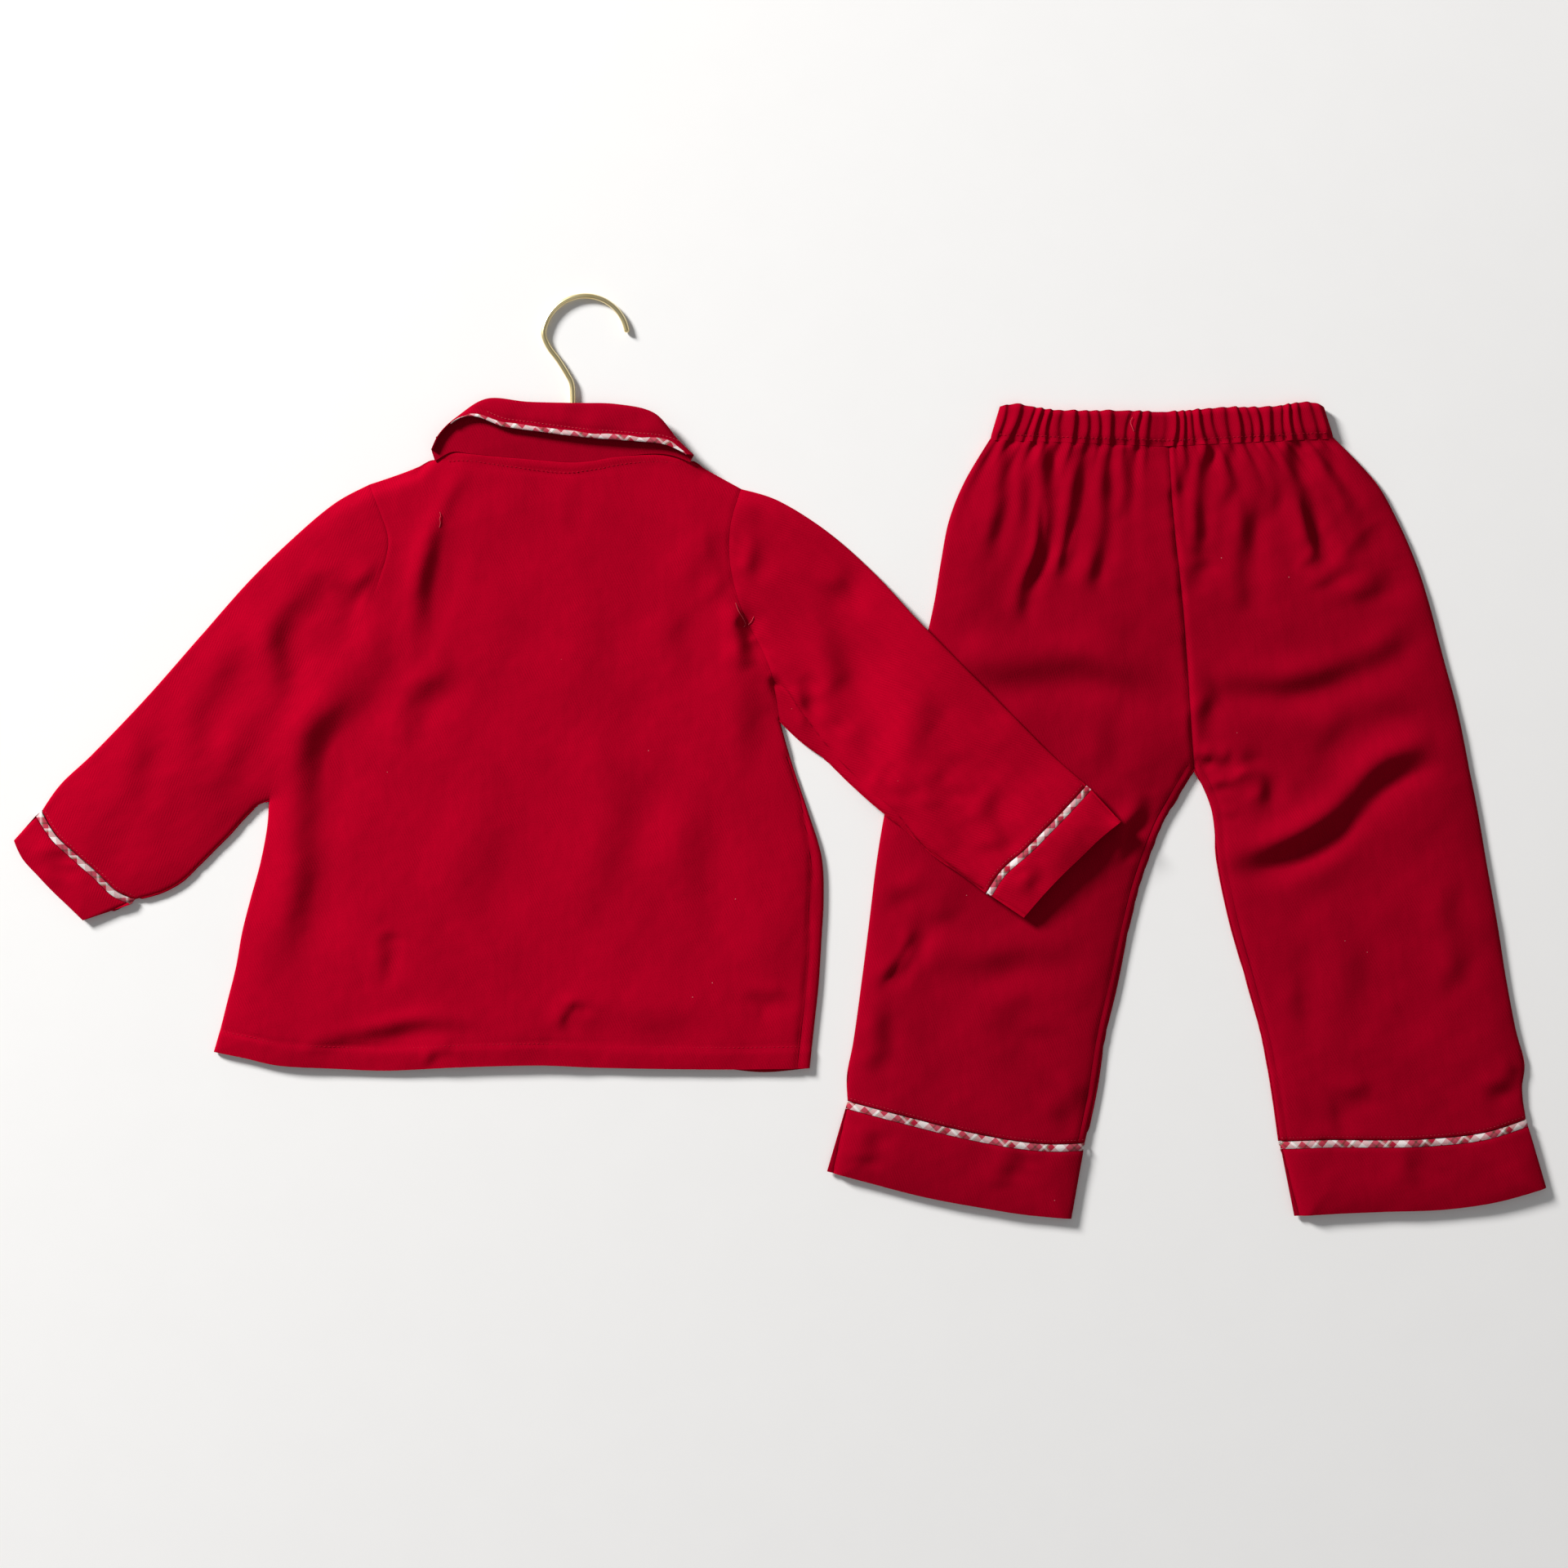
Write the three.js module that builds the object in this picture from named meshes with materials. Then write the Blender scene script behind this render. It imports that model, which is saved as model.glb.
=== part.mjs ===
// A toddler's pyjama set of red brushed twill: a collared top on its wire hanger, and a pair of trousers
// with an elastic waist. Both lie flat on their fronts, and the top's right sleeve lies over the trousers.
// Millimetres, +Z up, with the floor at z = 0. Left and right are those of someone who looks down at it.
import * as THREE from 'three';

// Driving dimensions
const CLOTH = 1.2; // one wall of brushed twill
const CUFF_CLOTH = 1.6; // a cuff or a piping, doubled
const BAND_CLOTH = 2.4; // the waistband, doubled round its elastic
const SEAM_GAP = 0.3; // between pieces that are sewn together or lie on each other
const LOFT = 3.5; // how far the upper layer stands off the lower one, away from the edges
const LOFT_REACH = 14; // how fast it rises from an edge
const FOLD_FADE = 10; // folds fade out this near an edge
const SLEEVE_REST = 6.6; // the right sleeve's height where it lies on the trousers
const SLEEVE_RAMP = 50; // it starts to rise this far from the trousers
const SLEEVE_RAMP_END = 10; // and is up this far in from their edge
const PLACKET_HALF = 35; // the fronts lie double this far to each side of the centre line
const PLACKET_RAMP = 30; // and the back comes down again over this distance
const WIRE_RADIUS = 1.6; // the hanger's wire
const WIRE_GAP = 0.5; // from it to the cloth over it
const WIRE_CLEAR = 20; // the cloth lies level over the wire for this far to each side
const WIRE_DRAPE = 0.2; // and falls this much for each mm beyond
const WIRE_FADE = 5; // near an edge it comes down to its seam over about this far
const COLLAR_LIFT = 2.2; // the collar's free edge stands this far off its stand
const COLLAR_PIPING = 2.6;
const LEG_PIPING = 4.6;
const WAIST_RIDGE = 1.9; // height of one gather in the waistband
const WAIST_PITCH = 7.8; // from one gather to the next
const WAIST_CALM = 9; // the gathers rest this far to each side of the centre back seam
const WAIST_LOFT = 1.4;
const WAIST_LEFT = { x: 128.3, topX: 134.2 }; // its ends, at its seam and at its top
const WAIST_RIGHT = { x: 338.3, topX: 332.6 };
const BODY_COLUMNS = 15;
const BODY_ROWS = 16;
const SLEEVE_COLUMNS = 8; // as many as the body has rows beside an armhole
const SLEEVE_ROWS = 11;
const LEG_COLUMNS = 11;
const LEG_ROWS_ABOVE = 7; // from the waist to the crotch
const LEG_ROWS_BELOW = 8; // from the crotch to the cuff
const CUFF_ROWS = 2;
const WAIST_COLUMNS = 84; // across the back, where it is gathered
const WAIST_COLUMNS_UNDER = 12;
const WAIST_ROWS = 3;
const COLLAR_LEAF_ROWS = 6;
const HOOK_LENGTHS = 48; // straight lengths that the wire is made of
const ARM_LENGTHS = 20;
const OUTLINE_STEPS = 12; // samples for each edge of an outline

const RED = { color: 0xa6001e, roughness: 0.85, metalness: 0 };
const CHECK = { color: 0xc9a0a4, roughness: 0.8, metalness: 0 };
const GOLD = { color: 0xcbb266, roughness: 0.3, metalness: 1 };

// Reads rows of numbers into records with the named columns.
function table(columns, rows) {
  const names = columns.split(' ');
  return rows.map((row) => Object.fromEntries(names.map((name, k) => [name, row[k]])));
}

// A smooth edge through the rows of a table, run from 0 to 1 with the same share for each row.
function edge(rows) {
  const curve = new THREE.SplineCurve(rows.map(({ x, y }) => new THREE.Vector2(x, y)));
  return (t) => curve.getPoint(t);
}

// An edge run at an even speed, for ends whose rows are unevenly spaced.
function evenEdge(rows) {
  const curve = new THREE.SplineCurve(rows.map(({ x, y }) => new THREE.Vector2(x, y)));
  return (t) => curve.getPointAt(t);
}

// Two edges end to end, the first up to the given share of the whole.
function joined(first, second, share) {
  return (t) => (t <= share ? first(t / share) : second((t - share) / (1 - share)));
}

// An edge moved sideways, to its left as it runs.
function shifted(path, distance) {
  const step = 0.004;
  return (t) => {
    const ahead = path(Math.min(1, t + step)).clone();
    const way = ahead.sub(path(Math.max(0, t - step))).normalize();
    const at = path(t);
    return new THREE.Vector2(at.x - way.y * distance, at.y + way.x * distance);
  };
}

// The plan of a panel between four edges: start and end run across it, near and far along it.
function planBetween({ start, end, near, far }) {
  return (u, v) => {
    const left = near(v);
    const right = far(v);
    const first = start(u);
    const last = end(u);
    const at = (axis) => {
      const across = left[axis] * (1 - u) + right[axis] * u;
      const first0 = start(0)[axis] * (1 - u) + start(1)[axis] * u;
      const last0 = end(0)[axis] * (1 - u) + end(1)[axis] * u;
      return across + (1 - v) * (first[axis] - first0) + v * (last[axis] - last0);
    };
    return new THREE.Vector2(at('x'), at('y'));
  };
}

// Outlines, seams and edges, in plan
const BACK_TOP = table('x y', [
  [-251.4, 166.0],
  [-237.7, 170.6],
  [-223.7, 175.6],
  [-210.6, 181.0],
  [-200.3, 186.5],
  [-189.0, 185.5],
  [-172.0, 183.9],
  [-148.0, 181.7],
  [-122.0, 180.4],
  [-98.0, 183.7],
  [-78.0, 185.5],
  [-66.0, 184.4],
  [-55.0, 180.4],
  [-45.0, 175.0],
  [-35.0, 169.6],
  [-24.0, 163.6],
]);
const NECK_FIRST = 3; // rows of the table above where the neckline starts and ends
const NECK_LAST = 12;
const FRONT_NECK = table('x y', [
  [-210.6, 181.0],
  [-203.0, 170.0],
  [-191.0, 161.0],
  [-174.0, 153.5],
  [-152.0, 148.0],
  [-127.0, 146.0],
  [-103.0, 149.0],
  [-84.0, 156.5],
  [-67.0, 168.0],
  [-55.0, 180.4],
]);
const LEFT_ARMHOLE = edge(table('x y', [
  [-251.6, 166.0],
  [-243.7, 147.0],
  [-239.2, 130.0],
  [-244.5, 109.0],
  [-255.0, 84.0],
  [-269.0, 56.0],
  [-286.0, 26.0],
  [-301.0, -3.0],
  [-312.8, -27.6],
]));
const RIGHT_ARMHOLE = edge(table('x y', [
  [-24.0, 163.4],
  [-30.0, 143.0],
  [-31.2, 124.0],
  [-28.4, 105.0],
  [-21.5, 84.5],
  [-12.5, 67.5],
  [-6.0, 52.5],
  [-3.0, 38.0],
  [-0.4, 22.0],
]));
const LEFT_SIDE = edge(table('x y', [
  [-312.8, -27.6],
  [-314.0, -44.0],
  [-318.2, -66.0],
  [-324.0, -87.0],
  [-329.3, -108.0],
  [-333.0, -129.0],
  [-338.0, -149.0],
  [-342.5, -167.0],
  [-346.5, -181.0],
]));
const RIGHT_SIDE = edge(table('x y', [
  [-0.4, 22.0],
  [7.0, -4.0],
  [17.0, -34.0],
  [25.2, -61.0],
  [26.6, -86.0],
  [25.3, -112.0],
  [23.5, -140.0],
  [20.6, -167.0],
  [18.0, -191.0],
]));
const HEM = evenEdge(table('x y', [
  [-346.5, -181.0],
  [-327.7, -184.7],
  [-306.0, -189.4],
  [-272.7, -191.2],
  [-239.7, -192.4],
  [-197.7, -190.4],
  [-147.7, -189.2],
  [-107.7, -190.7],
  [-37.7, -191.7],
  [18.0, -191.0],
]));
const FRONT_HEM = evenEdge(table('x y', [
  [-346.5, -181.0],
  [-327.7, -184.4],
  [-306.0, -189.0],
  [-239.7, -191.9],
  [-147.7, -188.8],
  [-72.7, -191.2],
  [-37.7, -192.6],
  [-10.0, -195.2],
  [18.0, -192.8],
]));

const LEFT_SLEEVE_UPPER = edge(table('x y', [
  [-251.6, 166.0],
  [-272.0, 155.0],
  [-295.0, 136.0],
  [-324.0, 108.0],
  [-355.0, 73.0],
  [-388.0, 35.5],
  [-420.0, 2.0],
  [-440.0, -17.0],
  [-451.8, -33.5],
]));
const LEFT_SLEEVE_LOWER = edge(table('x y', [
  [-312.8, -27.6],
  [-320.0, -30.5],
  [-328.5, -38.5],
  [-337.0, -48.0],
  [-346.0, -57.0],
  [-355.5, -66.5],
  [-366.0, -76.5],
  [-379.0, -83.5],
  [-394.6, -87.6],
]));
const LEFT_PIPING = edge(table('x y', [
  [-451.8, -33.5],
  [-442.7, -48.0],
  [-430.0, -60.0],
  [-417.0, -71.5],
  [-406.0, -82.3],
  [-394.6, -87.6],
]));
const LEFT_CUFF_START = edge(table('x y', [
  [-455.3, -36.4],
  [-445.4, -50.7],
  [-432.4, -63.0],
  [-419.4, -74.5],
  [-408.3, -85.3],
  [-397.0, -90.7],
]));
const LEFT_CUFF_END = edge(table('x y', [
  [-468.6, -51.5],
  [-463.0, -63.0],
  [-453.0, -74.0],
  [-444.5, -83.0],
  [-435.0, -92.0],
  [-426.3, -100.5],
]));

const RIGHT_SLEEVE_UPPER = edge(table('x y', [
  [-24.0, 163.4],
  [-0.8, 156.0],
  [28.7, 137.4],
  [57.0, 112.4],
  [84.0, 83.0],
  [111.0, 55.5],
  [138.0, 28.5],
  [164.8, 1.6],
  [186.5, -17.8],
]));
const RIGHT_SLEEVE_LOWER = edge(table('x y', [
  [-0.4, 22.0],
  [12.0, 10.0],
  [28.0, -2.5],
  [44.0, -17.6],
  [59.0, -31.0],
  [76.0, -44.5],
  [93.0, -59.8],
  [110.0, -71.5],
  [125.6, -83.0],
]));
const RIGHT_PIPING = edge(table('x y', [
  [186.5, -17.8],
  [173.5, -31.8],
  [162.0, -43.5],
  [149.0, -56.6],
  [134.5, -69.5],
  [125.6, -83.0],
]));
const RIGHT_CUFF_START = edge(table('x y', [
  [189.4, -20.4],
  [176.4, -34.4],
  [164.8, -46.2],
  [151.8, -59.3],
  [137.3, -72.2],
  [128.6, -85.4],
]));
const RIGHT_CUFF_END = edge(table('x y', [
  [207.3, -40.0],
  [195.0, -50.0],
  [183.0, -61.5],
  [171.0, -73.0],
  [159.3, -85.5],
  [148.2, -98.6],
]));

const CENTRE_SEAM = edge(table('x y', [
  [237.3, 190.2],
  [238.3, 168.0],
  [240.2, 144.0],
  [242.8, 119.0],
  [245.6, 94.0],
  [248.2, 62.0],
  [250.4, 26.0],
  [253.2, -8.0],
]));
const LEFT_LEG_OUTER_ABOVE = edge(table('x y', [
  [128.3, 194.0],
  [112.8, 168.0],
  [103.2, 144.0],
  [98.2, 118.4],
  [94.2, 94.0],
  [88.0, 66.0],
  [80.5, 34.0],
  [72.0, 0.0],
]));
const LEFT_LEG_OUTER_BELOW = edge(table('x y', [
  [72.0, 0.0],
  [66.6, -22.0],
  [62.2, -44.0],
  [58.2, -70.0],
  [54.6, -100.0],
  [49.9, -137.0],
  [44.8, -174.0],
  [40.8, -195.0],
  [41.2, -211.0],
]));
const LEFT_LEG_INNER = edge(table('x y', [
  [253.2, -8.0],
  [243.4, -24.5],
  [232.8, -43.7],
  [221.0, -75.0],
  [213.3, -103.7],
  [205.6, -140.0],
  [198.3, -172.0],
  [193.0, -205.0],
  [186.3, -236.5],
]));
const RIGHT_LEG_OUTER_ABOVE = edge(table('x y', [
  [338.3, 195.0],
  [363.8, 168.0],
  [377.6, 144.0],
  [388.6, 119.0],
  [396.8, 94.0],
  [405.2, 62.0],
  [414.8, 26.0],
  [421.6, -8.0],
]));
const RIGHT_LEG_OUTER_BELOW = edge(table('x y', [
  [421.6, -8.0],
  [426.8, -34.0],
  [432.3, -66.0],
  [438.5, -101.0],
  [444.3, -137.0],
  [450.0, -167.0],
  [455.3, -188.0],
  [453.9, -204.0],
  [456.0, -222.0],
]));
const RIGHT_LEG_INNER = edge(table('x y', [
  [253.2, -8.0],
  [263.8, -33.0],
  [267.6, -66.0],
  [275.0, -101.0],
  [285.3, -137.0],
  [293.6, -167.0],
  [298.2, -189.0],
  [301.7, -210.0],
  [305.3, -235.5],
]));
const LEFT_LEG_PIPING = edge(table('x y', [
  [41.2, -211.0],
  [73.0, -219.0],
  [105.0, -227.2],
  [136.0, -233.6],
  [162.0, -236.8],
  [186.3, -236.5],
]));
const LEFT_LEG_CUFF_END = edge(table('x y', [
  [28.6, -254.0],
  [56.0, -261.4],
  [88.0, -269.6],
  [120.0, -275.6],
  [150.0, -280.4],
  [178.0, -283.0],
]));
const RIGHT_LEG_PIPING = edge(table('x y', [
  [305.3, -235.5],
  [333.0, -234.4],
  [364.0, -234.4],
  [396.0, -233.6],
  [428.0, -230.2],
  [456.0, -222.0],
]));
const RIGHT_LEG_CUFF_END = edge(table('x y', [
  [314.4, -281.2],
  [343.0, -279.6],
  [374.0, -278.4],
  [406.0, -277.2],
  [438.0, -272.6],
  [468.6, -264.0],
]));

// Sections of the back collar, from its left turn to its right one: the roll at its top, and the free
// edge that carries the piping. Its neck seam is the back's own.
const COLLAR = table('rollX rollY edgeX edgeY', [
  [-213.0, 187.0, -209.0, 187.2],
  [-208.0, 197.0, -203.6, 194.6],
  [-197.5, 207.0, -191.6, 204.4],
  [-179.0, 218.2, -172.0, 201.4],
  [-154.0, 216.2, -148.7, 198.2],
  [-126.7, 215.4, -122.0, 194.8],
  [-100.0, 214.8, -97.0, 192.8],
  [-77.0, 209.4, -75.0, 191.0],
  [-62.5, 193.2, -65.4, 188.4],
  [-52.6, 183.6, -56.6, 183.6],
]);
// The collar's two front leaves lie under the fronts: along the neck, and along their outer edge.
const COLLAR_LEAF_LEFT = {
  neck: edge(table('x y', [[-209.6, 179.6], [-200.0, 167.4], [-178.0, 155.0], [-140.0, 146.6]])),
  rim: edge(table('x y', [[-216.0, 173.6], [-216.6, 147.0], [-196.0, 122.0], [-160.0, 108.0]])),
};
const COLLAR_LEAF_RIGHT = {
  neck: edge(table('x y', [[-56.0, 179.0], [-66.0, 166.0], [-86.0, 154.4], [-124.0, 146.4]])),
  rim: edge(table('x y', [[-52.0, 172.0], [-50.0, 145.0], [-70.0, 121.0], [-106.0, 108.0]])),
};

// The hanger's wire: the round of its hook, from the tip, then its bend and stem down to the arms, and
// the two arms
const HOOK_ROUND = { x: -119.2, y: 255.7, z: 1.7, radius: 25.7, fromDegrees: 10, toDegrees: 172, steps: 9 };
const HOOK_BEND = table('x y z', [
  [-144.0, 255.0, 1.7],
  [-141.0, 249.0, 1.7],
  [-135.7, 242.0, 1.7],
  [-130.7, 234.0, 1.7],
  [-127.7, 228.0, 1.7],
]);
const STEM = table('x y z', [
  [-127.0, 221.0, 1.7],
  [-127.0, 212.0, 1.9],
  [-127.0, 198.0, 3.1],
  [-127.0, 186.0, 4.3],
  [-127.0, 179.7, 4.6],
]);
const ARM_WIRE = table('x y z', [
  [-244.0, 147.5, 3.4],
  [-234.0, 150.5, 4.0],
  [-214.0, 156.5, 4.6],
  [-175.0, 167.5, 4.6],
  [-145.0, 174.5, 4.6],
  [-127.0, 176.0, 4.6],
  [-109.0, 174.5, 4.6],
  [-79.0, 167.5, 4.6],
  [-40.0, 156.5, 4.6],
  [-20.0, 150.5, 3.8],
  [-10.0, 147.5, 3.3],
]);

// Main folds: a soft ridge, or a trough where its height is below zero, along a straight stretch
const TOP_FOLDS = table('x1 y1 x2 y2 height width', [
  [-190, 160, -211, 134, -1.8, 9],
  [-211, 134, -218, 68, -2.6, 12],
  [-236, 52, -270, 18, -2.4, 13],
  [-270, 18, -286, -34, -2.6, 14],
  [-286, -62, -298, -114, -2.2, 12],
  [-252, 100, -288, 64, 1.6, 12],
  [-106, 98, -101, -60, -1.4, 16],
  [-205, 54, -230, 34, -1.8, 9],
  [-290, -176, -252, -168, -1.6, 8],
  [-252, -168, -205, -166, -1.6, 8],
  [-292, 96, -311, 54, -1.8, 12],
  [44, 112, 22, 88, -1.6, 10],
  [32, 62, 50, 4, -1.8, 11],
  [-160, 30, -150, -90, 1.2, 22],
]);
const TROUSER_FOLDS = table('x1 y1 x2 y2 height width', [
  [139, 184, 130, 132, -1.6, 7],
  [160, 175, 156, 104, -2.2, 8],
  [182, 175, 174, 130, -1.8, 7],
  [197, 182, 191, 118, -2.0, 7],
  [314, 184, 326, 136, -2.2, 8],
  [287, 142, 284, 106, -1.6, 7],
  [260, 184, 254, 148, -1.6, 7],
  [120, 58, 232, 48, -2.0, 14],
  [274, 42, 350, 58, -2.0, 14],
  [350, 58, 392, 84, -2.0, 12],
  [274, -70, 332, -40, -2.8, 14],
  [332, -40, 388, 4, -2.8, 14],
  [84, -108, 60, -142, -2.2, 9],
  [100, -122, 132, -128, -1.4, 12],
]);

// Plans of the panels
const backPlan = planBetween({
  start: edge(BACK_TOP),
  end: HEM,
  near: joined(shifted(LEFT_ARMHOLE, SEAM_GAP / 2), LEFT_SIDE, 0.5),
  far: joined(shifted(RIGHT_ARMHOLE, -SEAM_GAP / 2), RIGHT_SIDE, 0.5),
});
const frontTop = [...BACK_TOP.slice(0, NECK_FIRST), ...FRONT_NECK, ...BACK_TOP.slice(NECK_LAST + 1)];
const frontPlan = planBetween({
  start: edge(frontTop),
  end: FRONT_HEM,
  near: joined(shifted(LEFT_ARMHOLE, SEAM_GAP / 2), LEFT_SIDE, 0.5),
  far: joined(shifted(RIGHT_ARMHOLE, -SEAM_GAP / 2), RIGHT_SIDE, 0.5),
});
const turned = (plan) => (u, v) => plan(v, u);
const leftSleevePlan = turned(planBetween({
  start: LEFT_SLEEVE_UPPER,
  end: LEFT_SLEEVE_LOWER,
  near: shifted(LEFT_ARMHOLE, -SEAM_GAP / 2),
  far: LEFT_PIPING,
}));
const rightSleevePlan = turned(planBetween({
  start: RIGHT_SLEEVE_UPPER,
  end: RIGHT_SLEEVE_LOWER,
  near: shifted(RIGHT_ARMHOLE, SEAM_GAP / 2),
  far: RIGHT_PIPING,
}));
const crotchShare = LEG_ROWS_ABOVE / (LEG_ROWS_ABOVE + LEG_ROWS_BELOW);
const straight = (from, to) => (t) => from.clone().lerp(to, t);
const leftLegInner = joined(shifted(CENTRE_SEAM, -SEAM_GAP / 2), LEFT_LEG_INNER, crotchShare);
const rightLegInner = joined(shifted(CENTRE_SEAM, SEAM_GAP / 2), RIGHT_LEG_INNER, crotchShare);
const leftLegOuter = joined(LEFT_LEG_OUTER_ABOVE, LEFT_LEG_OUTER_BELOW, crotchShare);
const rightLegOuter = joined(RIGHT_LEG_OUTER_ABOVE, RIGHT_LEG_OUTER_BELOW, crotchShare);
const leftLegPlan = planBetween({
  start: straight(leftLegOuter(0), leftLegInner(0)),
  end: LEFT_LEG_PIPING,
  near: leftLegOuter,
  far: leftLegInner,
});
const rightLegPlan = planBetween({
  start: straight(rightLegOuter(0), rightLegInner(0)),
  end: (t) => RIGHT_LEG_PIPING(1 - t),
  near: rightLegOuter,
  far: rightLegInner,
});

// A strip between two lines.
function stripPlan(first, last) {
  return (u, v) => first(u).clone().lerp(last(u), v);
}

// The outlines of both garments, for the height of the cloth at a distance from its edge
function outlineOf(edges) {
  const points = [];
  for (const path of edges) {
    for (let k = 0; k < OUTLINE_STEPS; k += 1) {
      points.push(path(k / OUTLINE_STEPS));
    }
  }
  return points;
}
const reversed = (path) => (t) => path(1 - t);
const collarRoll = edge(COLLAR.map(({ rollX, rollY }) => ({ x: rollX, y: rollY })));
const TOP_OUTLINE = outlineOf([
  edge(BACK_TOP.slice(0, NECK_FIRST)),
  collarRoll,
  edge(BACK_TOP.slice(NECK_LAST + 1)),
  RIGHT_SLEEVE_UPPER,
  RIGHT_CUFF_END,
  reversed(RIGHT_SLEEVE_LOWER),
  RIGHT_SIDE,
  reversed(HEM),
  reversed(LEFT_SIDE),
  LEFT_SLEEVE_LOWER,
  reversed(LEFT_CUFF_END),
  reversed(LEFT_SLEEVE_UPPER),
]);
const WAIST_TOP = evenEdge(table('x y', [
  [131.2, 213.6],
  [142.6, 215.0],
  [166.3, 211.4],
  [211.3, 211.0],
  [237.3, 210.4],
  [271.8, 213.0],
  [300.3, 213.4],
  [324.3, 216.4],
  [334.8, 213.0],
]));
const TROUSER_OUTLINE = outlineOf([
  WAIST_TOP,
  rightLegOuter,
  reversed(RIGHT_LEG_CUFF_END),
  reversed(RIGHT_LEG_INNER),
  LEFT_LEG_INNER,
  reversed(LEFT_LEG_CUFF_END),
  reversed(leftLegOuter),
]);

// How far a point is from a straight stretch, and how far along it the nearest place is.
function stretchDistance(x, y, from, to) {
  const dx = to.x - from.x;
  const dy = to.y - from.y;
  const share = ((x - from.x) * dx + (y - from.y) * dy) / (dx * dx + dy * dy);
  const along = Math.min(1, Math.max(0, share));
  return { away: Math.hypot(x - from.x - along * dx, y - from.y - along * dy), along };
}

// The distance to an outline, below zero outside it.
function depthInside(outline, x, y) {
  let nearest = Infinity;
  let inside = false;
  outline.forEach((from, k) => {
    const to = outline[(k + 1) % outline.length];
    nearest = Math.min(nearest, stretchDistance(x, y, from, to).away);
    const crosses = from.y > y !== to.y > y;
    if (crosses && x < from.x + ((to.x - from.x) * (y - from.y)) / (to.y - from.y)) {
      inside = !inside;
    }
  });
  return inside ? nearest : -nearest;
}

// The height that the folds add at a point.
function foldHeight(folds, x, y) {
  let sum = 0;
  for (const { x1, y1, x2, y2, height, width } of folds) {
    const { away } = stretchDistance(x, y, { x: x1, y: y1 }, { x: x2, y: y2 });
    sum += height * Math.exp(-((away / width) ** 2));
  }
  return sum;
}

// The soft rise of an upper layer from its edges, with its folds.
function layerLoft(outline, folds, x, y) {
  const depth = Math.max(0, depthInside(outline, x, y));
  const rise = LOFT * (1 - Math.exp(-depth / LOFT_REACH));
  const fold = foldHeight(folds, x, y) * (1 - Math.exp(-depth / FOLD_FADE));
  return Math.max(0, rise + fold);
}

const trouserLoft = ({ x, y }) => layerLoft(TROUSER_OUTLINE, TROUSER_FOLDS, x, y);

// The fronts lie over the collar's front leaves near the neck.
const smooth = (from, to, value) => THREE.MathUtils.smoothstep(value, from, to);
const COLLAR_LEAF_ZONE = { x: -134, halfWidth: 89, ramp: 13, bottom: 62, top: 94 };
function leafLift({ x, y }) {
  const { halfWidth, ramp, bottom, top } = COLLAR_LEAF_ZONE;
  const beside = 1 - smooth(halfWidth, halfWidth + ramp, Math.abs(x - COLLAR_LEAF_ZONE.x));
  return (CLOTH + SEAM_GAP) * beside * smooth(bottom, top, y);
}

// One front lies over the other along the centre line.
const CENTRE_FRONT = [new THREE.Vector2(-131, 146), new THREE.Vector2(-166, -190)];
function placketLift({ x, y }) {
  const { away } = stretchDistance(x, y, CENTRE_FRONT[0], CENTRE_FRONT[1]);
  return (CLOTH + SEAM_GAP) * (1 - smooth(PLACKET_HALF, PLACKET_HALF + PLACKET_RAMP, away));
}

// The height that the cloth needs over the hanger's wire, above two walls and their gap.
function wireLift({ x, y }) {
  let need = 0;
  for (const wire of [STEM, ARM_WIRE]) {
    for (let k = 0; k + 1 < wire.length; k += 1) {
      const { away, along } = stretchDistance(x, y, wire[k], wire[k + 1]);
      const crown = wire[k].z * (1 - along) + wire[k + 1].z * along + WIRE_RADIUS + WIRE_GAP;
      need = Math.max(need, crown - WIRE_DRAPE * Math.max(0, away - WIRE_CLEAR));
    }
  }
  return need - CLOTH - SEAM_GAP;
}

function topLoft(at) {
  const depth = Math.max(0, depthInside(TOP_OUTLINE, at.x, at.y));
  const loose = layerLoft(TOP_OUTLINE, TOP_FOLDS, at.x, at.y);
  const held = wireLift(at) * (1 - Math.exp(-((depth / WIRE_FADE) ** 2)));
  return Math.max(loose, held, leafLift(at) + placketLift(at));
}

// The right sleeve climbs onto the trousers.
function rightSleeveBase({ x, y }) {
  const depth = depthInside(TROUSER_OUTLINE, x, y);
  return SLEEVE_REST * smooth(-SLEEVE_RAMP, SLEEVE_RAMP_END, depth);
}
const onFloor = () => 0;

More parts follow.
